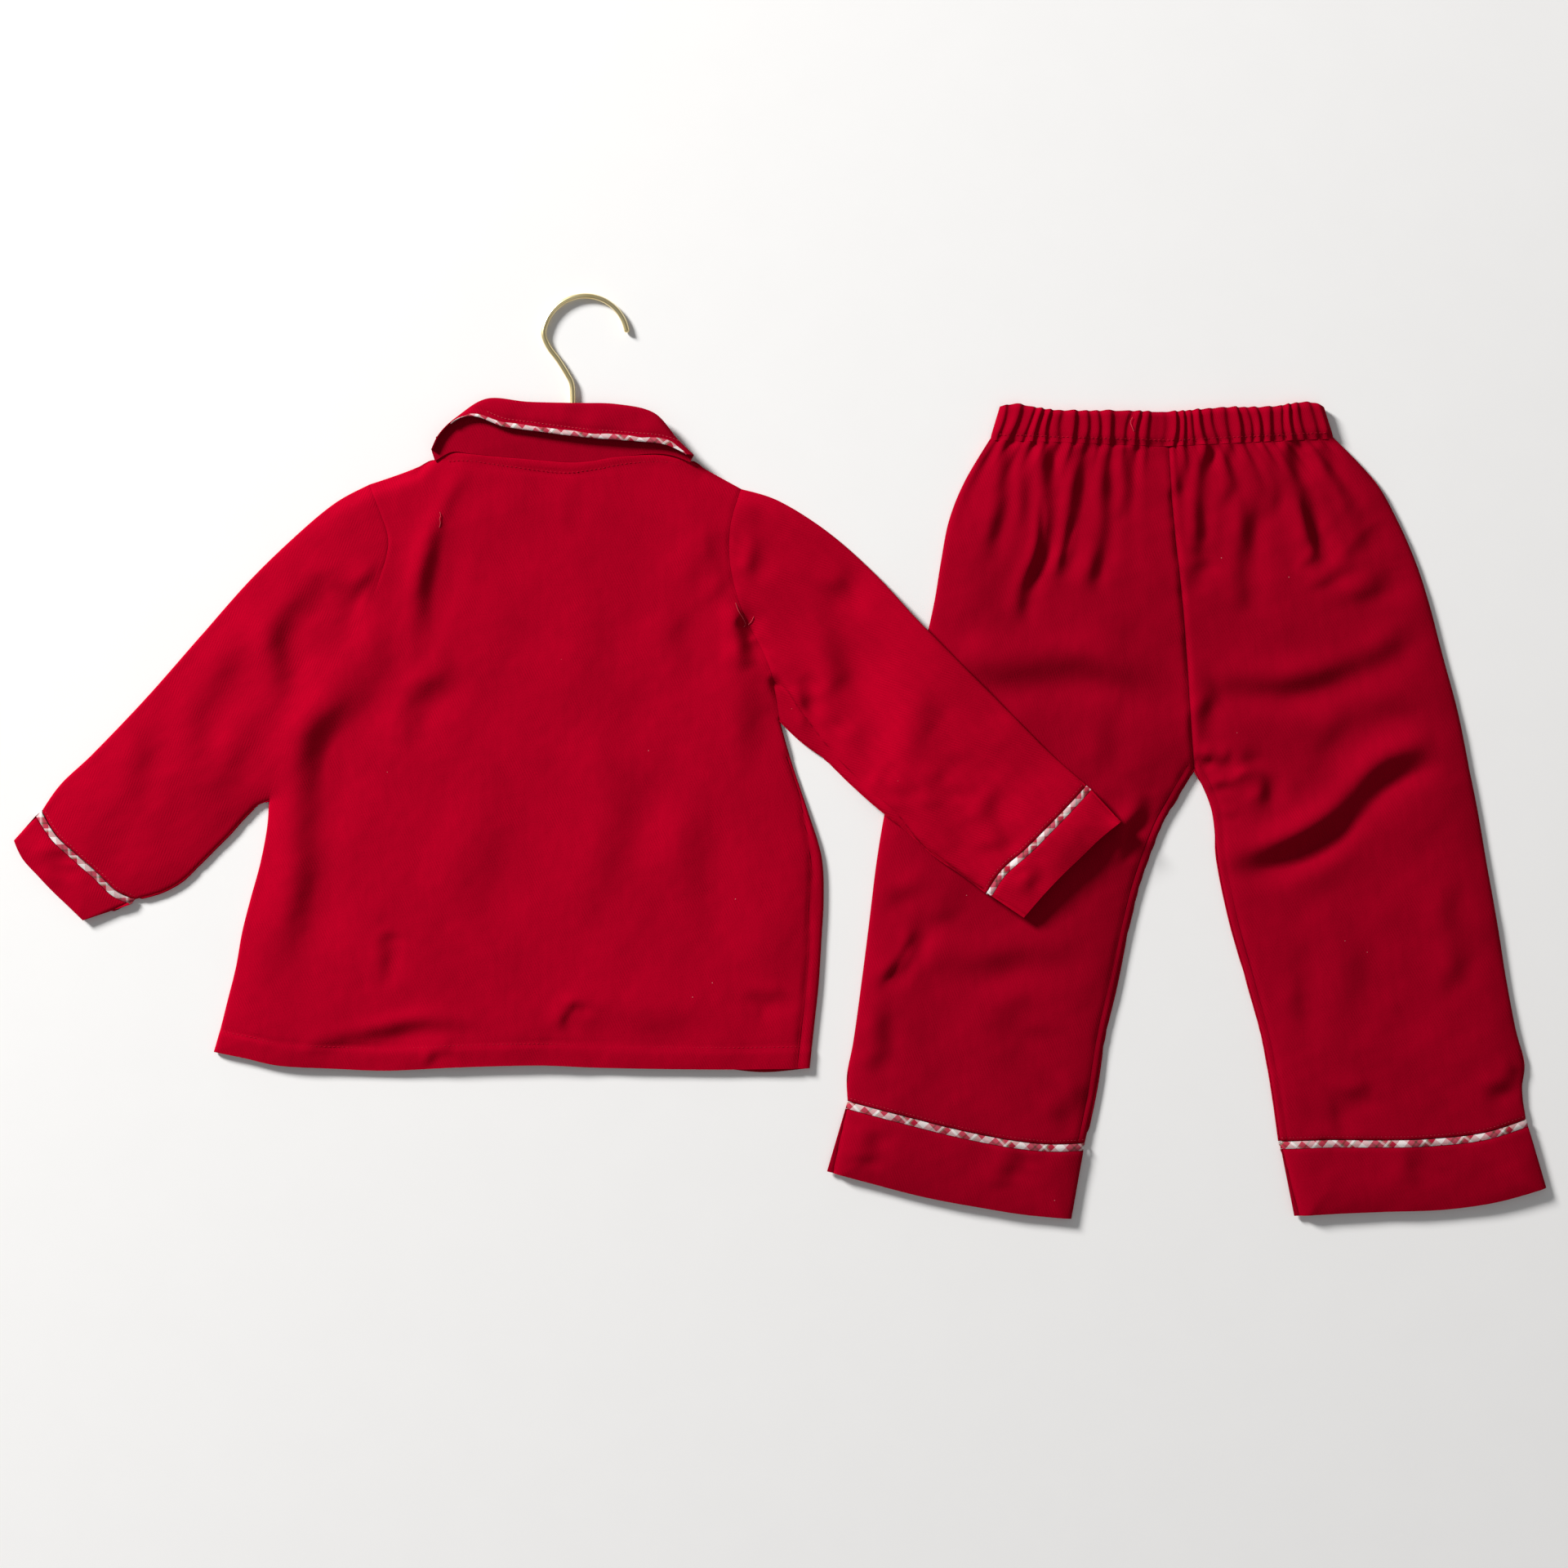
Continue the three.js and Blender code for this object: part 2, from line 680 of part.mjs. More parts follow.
// Closes a wall between two grids of points that have the same rows and columns.
function wall(outer, inner) {
  const rows = outer.length;
  const columns = outer[0].length;
  const positions = [...outer.flat(), ...inner.flat()].flatMap((p) => [p.x, p.y, p.z]);
  const faces = [];
  const quad = (a, b, c, d) => faces.push(a, b, c, a, c, d);
  const out = (r, c) => r * columns + c;
  const inn = (r, c) => rows * columns + r * columns + c;
  for (let r = 0; r + 1 < rows; r += 1) {
    for (let c = 0; c + 1 < columns; c += 1) {
      quad(out(r, c), out(r, c + 1), out(r + 1, c + 1), out(r + 1, c));
      quad(inn(r, c), inn(r + 1, c), inn(r + 1, c + 1), inn(r, c + 1));
    }
    quad(out(r, 0), out(r + 1, 0), inn(r + 1, 0), inn(r, 0));
    quad(out(r + 1, columns - 1), out(r, columns - 1), inn(r, columns - 1), inn(r + 1, columns - 1));
  }
  for (let c = 0; c + 1 < columns; c += 1) {
    quad(out(0, c + 1), out(0, c), inn(0, c), inn(0, c + 1));
    quad(out(rows - 1, c), out(rows - 1, c + 1), inn(rows - 1, c + 1), inn(rows - 1, c));
  }
  const geometry = new THREE.BufferGeometry();
  geometry.setAttribute('position', new THREE.Float32BufferAttribute(positions, 3));
  geometry.setIndex(volumeOf(positions, faces) < 0 ? faces.reverse() : faces);
  geometry.computeVertexNormals();
  return geometry;
}

// Six times the volume that the faces enclose, below zero if they point inwards.
function volumeOf(positions, faces) {
  const corner = (k) => new THREE.Vector3().fromArray(positions, 3 * faces[k]);
  let sum = 0;
  for (let k = 0; k < faces.length; k += 3) {
    sum += corner(k).dot(corner(k + 1).cross(corner(k + 2)));
  }
  return sum;
}

function node(name, geometry, look) {
  const mesh = new THREE.Mesh(geometry, new THREE.MeshStandardMaterial(look));
  mesh.name = name;
  return mesh;
}

const place = (p, z) => new THREE.Vector3(p.x, p.y, z);

// Even steps from 0 to 1, and the same with one more beside the start, where the cloth bends most.
const steps = (count) => Array.from({ length: count + 1 }, (_, k) => k / count);
const stepsFromShoulder = (count) => [0, 0.5 / count, ...steps(count).slice(1)];

// A single panel, its underside at the given height over its plan.
function flatPanel(plan, across, down, under) {
  const upper = [];
  const lower = [];
  for (const v of down) {
    const points = across.map((u) => plan(u, v));
    upper.push(points.map((p, k) => place(p, under(p, across[k]) + CLOTH)));
    lower.push(points.map((p, k) => place(p, under(p, across[k]))));
  }
  return wall(upper, lower);
}

// A panel folded along u = 0, with its two cut edges over each other at u = 1.
function foldedPanel({ lower, upper, across, down, cloth, loft, base }) {
  const turn = cloth + SEAM_GAP / 2;
  const outerRows = [];
  const innerRows = [];
  for (const v of down) {
    const leaf = (plan, insetFirst, height) => {
      const width = plan(0, v).distanceTo(plan(1, v));
      return across.map((u) => {
        const p = plan(u === 0 ? insetFirst / width : u, v);
        return place(p, height(p, u));
      });
    };
    const width = lower(0, v).distanceTo(lower(1, v));
    const fold = lower(0, v);
    const crease = lower(cloth / width, v);
    const topOf = (p, u) => base(p) + 2 * cloth + SEAM_GAP + loft(p, u);
    const outer = leaf(upper, turn, topOf).reverse();
    outer.push(place(fold, base(fold) + turn), ...leaf(lower, turn, (p) => base(p)));
    const inner = leaf(upper, turn + SEAM_GAP, (p, u) => topOf(p, u) - cloth).reverse();
    inner.push(place(crease, base(crease) + turn));
    inner.push(...leaf(lower, turn + SEAM_GAP, (p) => base(p) + cloth));
    outerRows.push(outer);
    innerRows.push(inner);
  }
  return wall(outerRows, innerRows);
}

function tube(plan, across, down, cloth, loft, base) {
  return foldedPanel({ lower: plan, upper: plan, across, down, cloth, loft, base });
}

// The top: back and fronts
const columnShares = (first, last) => steps(BODY_COLUMNS).slice(first, last + 1);
const MIDDLE = Math.floor(BODY_COLUMNS / 2);
function topPanels() {
  const back = flatPanel(
    backPlan, columnShares(0, BODY_COLUMNS), stepsFromShoulder(BODY_ROWS),
    (p) => CLOTH + SEAM_GAP + topLoft(p),
  );
  const left = flatPanel(frontPlan, columnShares(0, MIDDLE + 1), stepsFromShoulder(BODY_ROWS), leafLift);
  const right = flatPanel(
    frontPlan, columnShares(MIDDLE, BODY_COLUMNS), stepsFromShoulder(BODY_ROWS),
    (p, u) => leafLift(p) + (u * BODY_COLUMNS < MIDDLE + 1.5 ? CLOTH + SEAM_GAP : 0),
  );
  return [
    node('top_back', back, RED),
    node('top_front_left', left, RED),
    node('top_front_right', right, RED),
  ];
}

// A sleeve with its piping and its cuff
function sleeve(side, plan, piping, cuffStart, cuffEnd, base) {
  const gapTo = (first, last) => (t) => {
    const from = first(t);
    const way = last(t).sub(from).normalize();
    return from.add(way.multiplyScalar(SEAM_GAP));
  };
  const pipingStart = gapTo(piping, cuffStart);
  const cuffLine = gapTo(cuffStart, cuffEnd);
  const across = stepsFromShoulder(SLEEVE_COLUMNS);
  const strip = (first, last, rows) =>
    tube(stripPlan(first, last), across, steps(rows), CUFF_CLOTH, topLoft, base);
  return [
    node(`sleeve_${side}`, tube(plan, across, steps(SLEEVE_ROWS), CLOTH, topLoft, base), RED),
    node(`sleeve_piping_${side}`, strip(pipingStart, cuffStart, 1), CHECK),
    node(`sleeve_cuff_${side}`, strip(cuffLine, cuffEnd, CUFF_ROWS), RED),
  ];
}

// The collar's back part: its stand rises from the neck seam to the roll, and its fall comes back down.
function collar() {
  const sections = COLLAR.length - 1;
  const neckRows = BACK_TOP.slice(NECK_FIRST, NECK_LAST + 1);
  const neckAt = edge(neckRows.map(({ x, y }) => ({ x, y: y + SEAM_GAP })));
  const edgeAt = edge(COLLAR.map(({ edgeX, edgeY }) => ({ x: edgeX, y: edgeY })));
  const under = (p) => CLOTH + SEAM_GAP + Math.max(topLoft(p), wireLift(p));
  const fold = foldedPanel({
    lower: (u, v) => collarRoll(v).clone().lerp(neckAt(v), u),
    upper: (u, v) => collarRoll(v).clone().lerp(edgeAt(v), u),
    across: steps(2),
    down: steps(sections),
    cloth: CLOTH,
    loft: (p, u) => COLLAR_LIFT * u,
    base: under,
  });
  const pipingPlan = (u, v) => {
    const free = edgeAt(v);
    const inward = collarRoll(v).sub(free).normalize();
    return free.add(inward.multiplyScalar(COLLAR_PIPING * u));
  };
  const over = (p) => under(p) + 2 * CLOTH + 3 * SEAM_GAP + COLLAR_LIFT;
  const leaf = ({ neck, rim }) =>
    flatPanel(stripPlan(neck, rim), steps(COLLAR_LEAF_ROWS), steps(2), onFloor);
  return [
    node('collar', fold, RED),
    node('collar_piping', flatPanel(pipingPlan, [0, 1], steps(sections), over), CHECK),
    node('collar_leaf_left', leaf(COLLAR_LEAF_LEFT), RED),
    node('collar_leaf_right', leaf(COLLAR_LEAF_RIGHT), RED),
  ];
}

function hookRound() {
  const { x, y, z, radius, fromDegrees, toDegrees, steps: turns } = HOOK_ROUND;
  return steps(turns).map((t) => {
    const angle = THREE.MathUtils.degToRad(fromDegrees + (toDegrees - fromDegrees) * t);
    return { x: x + radius * Math.cos(angle), y: y + radius * Math.sin(angle), z };
  });
}

// A round wire through the rows of a table
function wire(rows, lengths) {
  const path = new THREE.CatmullRomCurve3(rows.map(({ x, y, z }) => new THREE.Vector3(x, y, z)));
  const section = new THREE.Shape().absarc(0, 0, WIRE_RADIUS, 0, 2 * Math.PI);
  return new THREE.ExtrudeGeometry(section, { steps: lengths, extrudePath: path, curveSegments: 4 });
}

// The trousers: a leg with its piping and its cuff
function leg(side, plan, piping, cuffEnd) {
  const length = piping(0.5).distanceTo(cuffEnd(0.5));
  const lineAt = (distance) => (t) => piping(t).clone().lerp(cuffEnd(t), distance / length);
  const across = steps(LEG_COLUMNS);
  const strip = (from, to, rows) =>
    tube(stripPlan(from, to), across, steps(rows), CUFF_CLOTH, trouserLoft, onFloor);
  const down = steps(LEG_ROWS_ABOVE + LEG_ROWS_BELOW);
  return [
    node(`trouser_leg_${side}`, tube(plan, across, down, CLOTH, trouserLoft, onFloor), RED),
    node(`leg_piping_${side}`, strip(lineAt(SEAM_GAP), lineAt(LEG_PIPING), 1), CHECK),
    node(`leg_cuff_${side}`, strip(lineAt(LEG_PIPING + SEAM_GAP), cuffEnd, CUFF_ROWS), RED),
  ];
}

// The gathered waistband, a ring that is parted at the centre back seam
function waistband() {
  const lowerLine = (x) => {
    const middle = CENTRE_SEAM(0);
    const end = x < middle.x ? leftLegPlan(0, 0) : rightLegPlan(0, 0);
    const share = (x - middle.x) / (end.x - middle.x);
    return middle.y + share * (end.y - middle.y) + SEAM_GAP;
  };
  const centre = CENTRE_SEAM(0).x;
  const gather = (x) => {
    const uneven = 0.18 * Math.sin(x / 11) + 0.12 * Math.sin(x / 5.3);
    const phase = (x - WAIST_LEFT.x) / WAIST_PITCH + uneven;
    const quiet = 1 - Math.exp(-(((x - centre) / WAIST_CALM) ** 2));
    return WAIST_RIDGE * quiet * (0.5 - 0.5 * Math.cos(2 * Math.PI * phase));
  };
  const turn = BAND_CLOTH + SEAM_GAP / 2;
  const outerRows = [];
  const innerRows = [];
  for (const v of steps(WAIST_ROWS)) {
    const x0 = WAIST_LEFT.x + (WAIST_LEFT.topX - WAIST_LEFT.x) * v;
    const x1 = WAIST_RIGHT.x + (WAIST_RIGHT.topX - WAIST_RIGHT.x) * v;
    const yOf = (x) => {
      const low = lowerLine(Math.min(WAIST_RIGHT.x, Math.max(WAIST_LEFT.x, x)));
      const high = WAIST_TOP((x - x0) / (x1 - x0)).y;
      return low + (high - low) * v;
    };
    const softRise = (x) => WAIST_LOFT * (1 - Math.exp(-Math.min(x - x0, x1 - x) / LOFT_REACH));
    const across = (from, to, count) =>
      Array.from({ length: count + 1 }, (_, k) => from + ((to - from) * k) / count);
    const half = WAIST_COLUMNS / 2;
    const inset = (side) => (side > 0 ? turn : turn + SEAM_GAP);
    const ringOf = (side) => {
      const topZ = (x) => {
        const flat = 2 * BAND_CLOTH + SEAM_GAP + softRise(x);
        return side > 0 ? flat + gather(x) : flat - BAND_CLOTH;
      };
      const lowZ = side > 0 ? 0 : BAND_CLOTH;
      const at = (x, z) => new THREE.Vector3(x, yOf(x), z);
      const rim = side > 0 ? 0 : BAND_CLOTH;
      const from = x0 + inset(side);
      const to = x1 - inset(side);
      return [
        ...across(centre + SEAM_GAP / 2, to, half).map((x) => at(x, topZ(x))),
        at(x1 - rim, turn),
        ...across(to, from, WAIST_COLUMNS_UNDER).map((x) => at(x, lowZ)),
        at(x0 + rim, turn),
        ...across(from, centre - SEAM_GAP / 2, half).map((x) => at(x, topZ(x))),
      ];
    };
    outerRows.push(ringOf(1));
    innerRows.push(ringOf(-1));
  }
  return node('waistband', wall(outerRows, innerRows), RED);
}

const group = new THREE.Group();
group.add(
  ...topPanels(),
  ...sleeve('left', leftSleevePlan, LEFT_PIPING, LEFT_CUFF_START, LEFT_CUFF_END, onFloor),
  ...sleeve('right', rightSleevePlan, RIGHT_PIPING, RIGHT_CUFF_START, RIGHT_CUFF_END, rightSleeveBase),
  ...collar(),
  node('hanger_hook', wire([...hookRound(), ...HOOK_BEND, ...STEM], HOOK_LENGTHS), GOLD),
  node('hanger_arms', wire(ARM_WIRE, ARM_LENGTHS), GOLD),
  ...leg('left', leftLegPlan, LEFT_LEG_PIPING, LEFT_LEG_CUFF_END),
  ...leg('right', rightLegPlan, reversed(RIGHT_LEG_PIPING), reversed(RIGHT_LEG_CUFF_END)),
  waistband(),
);

export default group;
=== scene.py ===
"""The looks of a toddler's pyjama set of red brushed twill with check piping, laid flat with its back up:
a collared top on its wire hanger, and trousers whose left leg lies under the top's right sleeve.
Sizes are millimetres until a mesh is made. Left and right are those of someone who looks down at it."""

import math

import bpy
import numpy as np
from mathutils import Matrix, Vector


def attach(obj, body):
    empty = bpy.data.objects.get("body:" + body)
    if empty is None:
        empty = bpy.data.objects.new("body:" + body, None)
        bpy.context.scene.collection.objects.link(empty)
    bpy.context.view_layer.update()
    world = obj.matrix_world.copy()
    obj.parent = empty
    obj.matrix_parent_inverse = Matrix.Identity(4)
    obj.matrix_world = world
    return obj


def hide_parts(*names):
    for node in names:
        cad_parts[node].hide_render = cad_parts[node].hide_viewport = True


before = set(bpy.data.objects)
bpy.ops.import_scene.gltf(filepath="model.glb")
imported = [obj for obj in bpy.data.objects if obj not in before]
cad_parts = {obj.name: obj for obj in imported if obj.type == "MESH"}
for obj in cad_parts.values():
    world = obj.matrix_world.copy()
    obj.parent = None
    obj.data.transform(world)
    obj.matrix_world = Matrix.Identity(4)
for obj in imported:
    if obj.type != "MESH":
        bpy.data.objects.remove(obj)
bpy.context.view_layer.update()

MM = 0.001

# Cloth and its layers
CLOTH = 1.2  # the wall of the solids
BAND_CLOTH = 2.4
SEAM_GAP = 0.3
SHELL = 0.9  # the twill as it is drawn, thinner than its solid
CUFF_SHELL = 1.3
BAND_SHELL = 2.2
MID = CLOTH + SEAM_GAP / 2  # height of the line where two leaves meet at an edge
CUFF_MID = 1.6 + SEAM_GAP / 2
EDGE_ROUND = 2.6  # a folded edge is round over this width
HEM_OPEN = 5  # hems and cuff ends stay this open, as if their edge were further out
LOFT = 4.0  # an upper leaf rises softly by this much
LOFT_REACH = 11  # within about this distance of its edges
PLACKET_HALF = 35  # the fronts' doubled middle lifts the back this far to either side
PLACKET_RAMP = 30

# Folds
FOLD_GAIN = 1.75  # falls and creases are this much deeper than their tables say
FOLD_SPREAD = 1.3  # falls are this much broader than their tables say
FOLD_SWAY = 0.32  # a fall's line sways by this share of its half width
FOLD_UNEVEN = 0.28  # its depth changes along it by this share
FOLD_END = 0.32  # it fades out over this share of its length at either end
FOLD_FADE = 6  # all folds flatten within about this distance of the cloth's edge
WAIST_LINE = 188  # falls that start above this hang from the waistband
WAIST_START = 0.1  # and fade in over this share of their length

# Right sleeve on the leg
SLEEVE_REST = 6.6  # the sleeve's height on the leg
SLEEVE_RAMP = 50  # it starts to climb this far before the leg
SLEEVE_RAMP_END = 10  # and is up this far inside the leg's edge
CUFF_SPRING = 3.0  # the right cuff stands off the leg by this much more

# Hanger
WIRE_RADIUS = 1.6
WIRE_GAP = 0.5
WIRE_CLEAR = 20  # the cloth stays up within this distance of the wire
WIRE_DRAPE = 0.08  # and falls away with this slope
WIRE_FADE = 5

# Collar, pipings and seams
COLLAR_LIFT = 2.2  # the fall's free edge stands off the stand by this much
COLLAR_PIPING = 3.4  # width of the collar's piping
COLLAR_STITCH = 4.6  # the fall's topstitching from its edge
PIPING_START = 0.18  # the collar's piping comes into sight at this share of its length
NECK_TUCK = 1.2  # the collar's stand is tucked under the back by this much
LEG_PIPING = 4.6  # width of a leg's piping
PIPING_STITCH = 1.9  # the stitches above a piping
BINDING = 6.5  # the strip that covers the back neck seam
HEM_DEPTH = 13.5  # the hem's stitch row above the edge
INSEAM_INSET = 4.5  # the inseam's place inside the leg's edge
SEAM_FAINT = 0.35  # a shallow seam's painted shade is set as if the seam were this much further away
THREAD_END = 0.16  # radius of a loose thread

# Waistband
WAIST_LEFT = (128.3, 134.2)  # the band's ends, at its seam and at its top
WAIST_RIGHT = (338.3, 332.6)
WAIST_LOFT = 1.4  # the band's soft rise from its edges
WAIST_RIDGE = 1.7  # the gathers' height
WAIST_FULLNESS = 1.35  # the band's cloth is this much longer than its elastic at rest
BAND_STITCH = 0.12  # the band's stitches, as a share of its height
BAND_LAP = 1.2  # the band's lower edge laps over the legs by this much
GATHER_REACH = 34  # the waist's gathers fade out down the legs over this length

# Weave, check and their colours
TWILL_ANGLE = -25  # the ribs fall steeply from the upper left to the lower right of the warp
RIB_PITCH = 1.5  # from rib to rib
RIBS_SCALE = 2 * math.pi / (20 * RIB_PITCH * MM)
LINT = (0.75, 0.35, 0.36, 1)
# painted shade: the twill darkens to this colour along its seams
SEAM_PAINTED_SHADE = (0.035, 0.0, 0.003, 1)
CHECK_ANGLE = 43  # the pipings are cut on the bias
CHECK_REPEAT = 17.0
CHECK_SHADE = (0.25, 0.08, 0.09, 1)
WHITE, ROSE = (0.80, 0.74, 0.73, 1), (0.50, 0.06, 0.10, 1)
BROWN, MOSS = (0.11, 0.05, 0.035, 1), (0.20, 0.23, 0.16, 1)
RED_STRIPE = (0.42, 0.004, 0.03, 1)
CHECK_STRIPES = [(0.0, WHITE), (0.27, ROSE), (0.46, BROWN), (0.53, ROSE), (0.68, WHITE), (0.76, MOSS),
                 (0.81, RED_STRIPE)]

# Each panel's warp runs down its length; this is how far that turns its weave from the back's.
BACK_GRAIN = 0
COLLAR_GRAIN = 2
LEFT_SLEEVE_GRAIN = -45
RIGHT_SLEEVE_GRAIN = 46
LEFT_LEG_GRAIN = -4
RIGHT_LEG_GRAIN = 5


def spline(rows):
    """A smooth line through the rows, with the same share of it for each row."""
    points = np.array(rows, float)
    last = len(points) - 1

    def at(t):
        place = np.clip(np.asarray(t, float), 0, 1) * last
        k = np.minimum(place.astype(int), last - 1)
        w = (place - k)[..., None]
        before, start = points[np.maximum(k - 1, 0)], points[k]
        end, after = points[k + 1], points[np.minimum(k + 2, last)]
        leave, arrive = (end - before) / 2, (after - start) / 2
        bend = (2 * (start - end) + leave + arrive) * w**3
        return bend + (3 * (end - start) - 2 * leave - arrive) * w**2 + leave * w + start

    return at


def evenly(path, samples=400):
    """The same line, run at an even speed."""
    t = np.linspace(0, 1, samples)
    run = np.concatenate([[0], np.cumsum(np.linalg.norm(np.diff(path(t), axis=0), axis=1))])
    return lambda s: path(np.interp(np.clip(s, 0, 1) * run[-1], run, t))


def even_spline(rows):
    return evenly(spline(rows))


# Outlines, seams and edges, as x y
BACK_TOP = [  # x y
    (-251.4, 166.0), (-237.7, 170.6), (-223.7, 175.6), (-210.6, 181.0), (-200.3, 186.5),
    (-189.0, 185.5), (-172.0, 183.9), (-148.0, 181.7), (-122.0, 180.4), (-98.0, 183.7), (-78.0, 185.5),
    (-66.0, 184.4), (-55.0, 180.4), (-45.0, 175.0), (-35.0, 169.6), (-24.0, 163.6),
]
FRONT_NECK = [  # x y
    (-210.6, 181.0), (-203.0, 170.0), (-191.0, 161.0), (-174.0, 153.5), (-152.0, 148.0),
    (-127.0, 146.0), (-103.0, 149.0), (-84.0, 156.5), (-67.0, 168.0), (-55.0, 180.4),
]
LEFT_ARMHOLE = spline([
    (-251.6, 166.0), (-243.7, 147.0), (-239.2, 130.0), (-244.5, 109.0), (-255.0, 84.0), (-269.0, 56.0),
    (-286.0, 26.0), (-301.0, -3.0), (-312.8, -27.6),
])
RIGHT_ARMHOLE = spline([
    (-24.0, 163.4), (-30.0, 143.0), (-31.2, 124.0), (-28.4, 105.0), (-21.5, 84.5), (-12.5, 67.5),
    (-6.0, 52.5), (-3.0, 38.0), (-0.4, 22.0),
])
LEFT_SIDE = spline([
    (-312.8, -27.6), (-314.0, -44.0), (-318.2, -66.0), (-324.0, -87.0), (-329.3, -108.0),
    (-333.0, -129.0), (-338.0, -149.0), (-342.5, -167.0), (-346.5, -181.0),
])
RIGHT_SIDE = spline([
    (-0.4, 22.0), (7.0, -4.0), (17.0, -34.0), (25.2, -61.0), (26.6, -86.0), (25.3, -112.0),
    (23.5, -140.0), (20.6, -167.0), (18.0, -191.0),
])
HEM = even_spline([
    (-346.5, -181.0), (-327.7, -184.7), (-306.0, -189.4), (-272.7, -191.2), (-239.7, -192.4),
    (-197.7, -190.4), (-147.7, -189.2), (-107.7, -190.7), (-37.7, -191.7), (18.0, -191.0),
])
FRONT_HEM = even_spline([
    (-346.5, -181.0), (-327.7, -184.4), (-306.0, -189.0), (-239.7, -191.9), (-147.7, -188.8),
    (-72.7, -191.2), (-37.7, -192.6), (-10.0, -195.2), (18.0, -192.8),
])
LEFT_SLEEVE_UPPER = spline([
    (-251.6, 166.0), (-272.0, 155.0), (-295.0, 136.0), (-324.0, 108.0), (-355.0, 73.0), (-388.0, 35.5),
    (-420.0, 2.0), (-440.0, -17.0), (-451.8, -33.5),
])
LEFT_SLEEVE_LOWER = spline([
    (-312.8, -27.6), (-320.0, -30.5), (-328.5, -38.5), (-337.0, -48.0), (-346.0, -57.0),
    (-355.5, -66.5), (-366.0, -76.5), (-379.0, -83.5), (-394.6, -87.6),
])
LEFT_PIPING = spline([
    (-451.8, -33.5), (-442.7, -48.0), (-430.0, -60.0), (-417.0, -71.5), (-406.0, -82.3),
    (-394.6, -87.6),
])
LEFT_CUFF_START = spline([
    (-455.3, -36.4), (-445.4, -50.7), (-432.4, -63.0), (-419.4, -74.5), (-408.3, -85.3),
    (-397.0, -90.7),
])
LEFT_CUFF_END = spline([
    (-468.6, -51.5), (-463.0, -63.0), (-453.0, -74.0), (-444.5, -83.0), (-435.0, -92.0),
    (-426.3, -100.5),
])
RIGHT_SLEEVE_UPPER = spline([
    (-24.0, 163.4), (-0.8, 156.0), (28.7, 137.4), (57.0, 112.4), (84.0, 83.0), (111.0, 55.5),
    (138.0, 28.5), (164.8, 1.6), (186.5, -17.8),
])
RIGHT_SLEEVE_LOWER = spline([
    (-0.4, 22.0), (12.0, 10.0), (28.0, -2.5), (44.0, -17.6), (59.0, -31.0), (76.0, -44.5),
    (93.0, -59.8), (110.0, -71.5), (125.6, -83.0),
])
RIGHT_PIPING = spline([
    (186.5, -17.8), (173.5, -31.8), (162.0, -43.5), (149.0, -56.6), (134.5, -69.5), (125.6, -83.0),
])
RIGHT_CUFF_START = spline([
    (189.4, -20.4), (176.4, -34.4), (164.8, -46.2), (151.8, -59.3), (137.3, -72.2), (128.6, -85.4),
])
RIGHT_CUFF_END = spline([
    (207.3, -40.0), (195.0, -50.0), (183.0, -61.5), (171.0, -73.0), (159.3, -85.5), (148.2, -98.6),
])
CENTRE_SEAM = spline([
    (237.3, 190.2), (238.3, 168.0), (240.2, 144.0), (242.8, 119.0), (245.6, 94.0), (248.2, 62.0),
    (250.4, 26.0), (253.2, -8.0),
])
LEFT_LEG_OUTER_ABOVE = spline([
    (128.3, 194.0), (112.8, 168.0), (103.2, 144.0), (98.2, 118.4), (94.2, 94.0), (88.0, 66.0),
    (80.5, 34.0), (72.0, 0.0),
])
LEFT_LEG_OUTER_BELOW = spline([
    (72.0, 0.0), (66.6, -22.0), (62.2, -44.0), (58.2, -70.0), (54.6, -100.0), (49.9, -137.0),
    (44.8, -174.0), (40.8, -195.0), (41.2, -211.0),
])
LEFT_LEG_INNER = spline([
    (253.2, -8.0), (243.4, -24.5), (232.8, -43.7), (221.0, -75.0), (213.3, -103.7), (205.6, -140.0),
    (198.3, -172.0), (193.0, -205.0), (186.3, -236.5),
])
RIGHT_LEG_OUTER_ABOVE = spline([
    (338.3, 195.0), (363.8, 168.0), (377.6, 144.0), (388.6, 119.0), (396.8, 94.0), (405.2, 62.0),
    (414.8, 26.0), (421.6, -8.0),
])
RIGHT_LEG_OUTER_BELOW = spline([
    (421.6, -8.0), (426.8, -34.0), (432.3, -66.0), (438.5, -101.0), (444.3, -137.0), (450.0, -167.0),
    (455.3, -188.0), (453.9, -204.0), (456.0, -222.0),
])
RIGHT_LEG_INNER = spline([
    (253.2, -8.0), (263.8, -33.0), (267.6, -66.0), (275.0, -101.0), (285.3, -137.0), (293.6, -167.0),
    (298.2, -189.0), (301.7, -210.0), (305.3, -235.5),
])
LEFT_LEG_PIPING = spline([
    (41.2, -211.0), (73.0, -219.0), (105.0, -227.2), (136.0, -233.6), (162.0, -236.8), (186.3, -236.5),
])
LEFT_LEG_CUFF_END = spline([
    (28.6, -254.0), (56.0, -261.4), (88.0, -269.6), (120.0, -275.6), (150.0, -280.4), (178.0, -283.0),
])
RIGHT_LEG_PIPING = spline([
    (305.3, -235.5), (333.0, -234.4), (364.0, -234.4), (396.0, -233.6), (428.0, -230.2),
    (456.0, -222.0),
])
RIGHT_LEG_CUFF_END = spline([
    (314.4, -281.2), (343.0, -279.6), (374.0, -278.4), (406.0, -277.2), (438.0, -272.6),
    (468.6, -264.0),
])
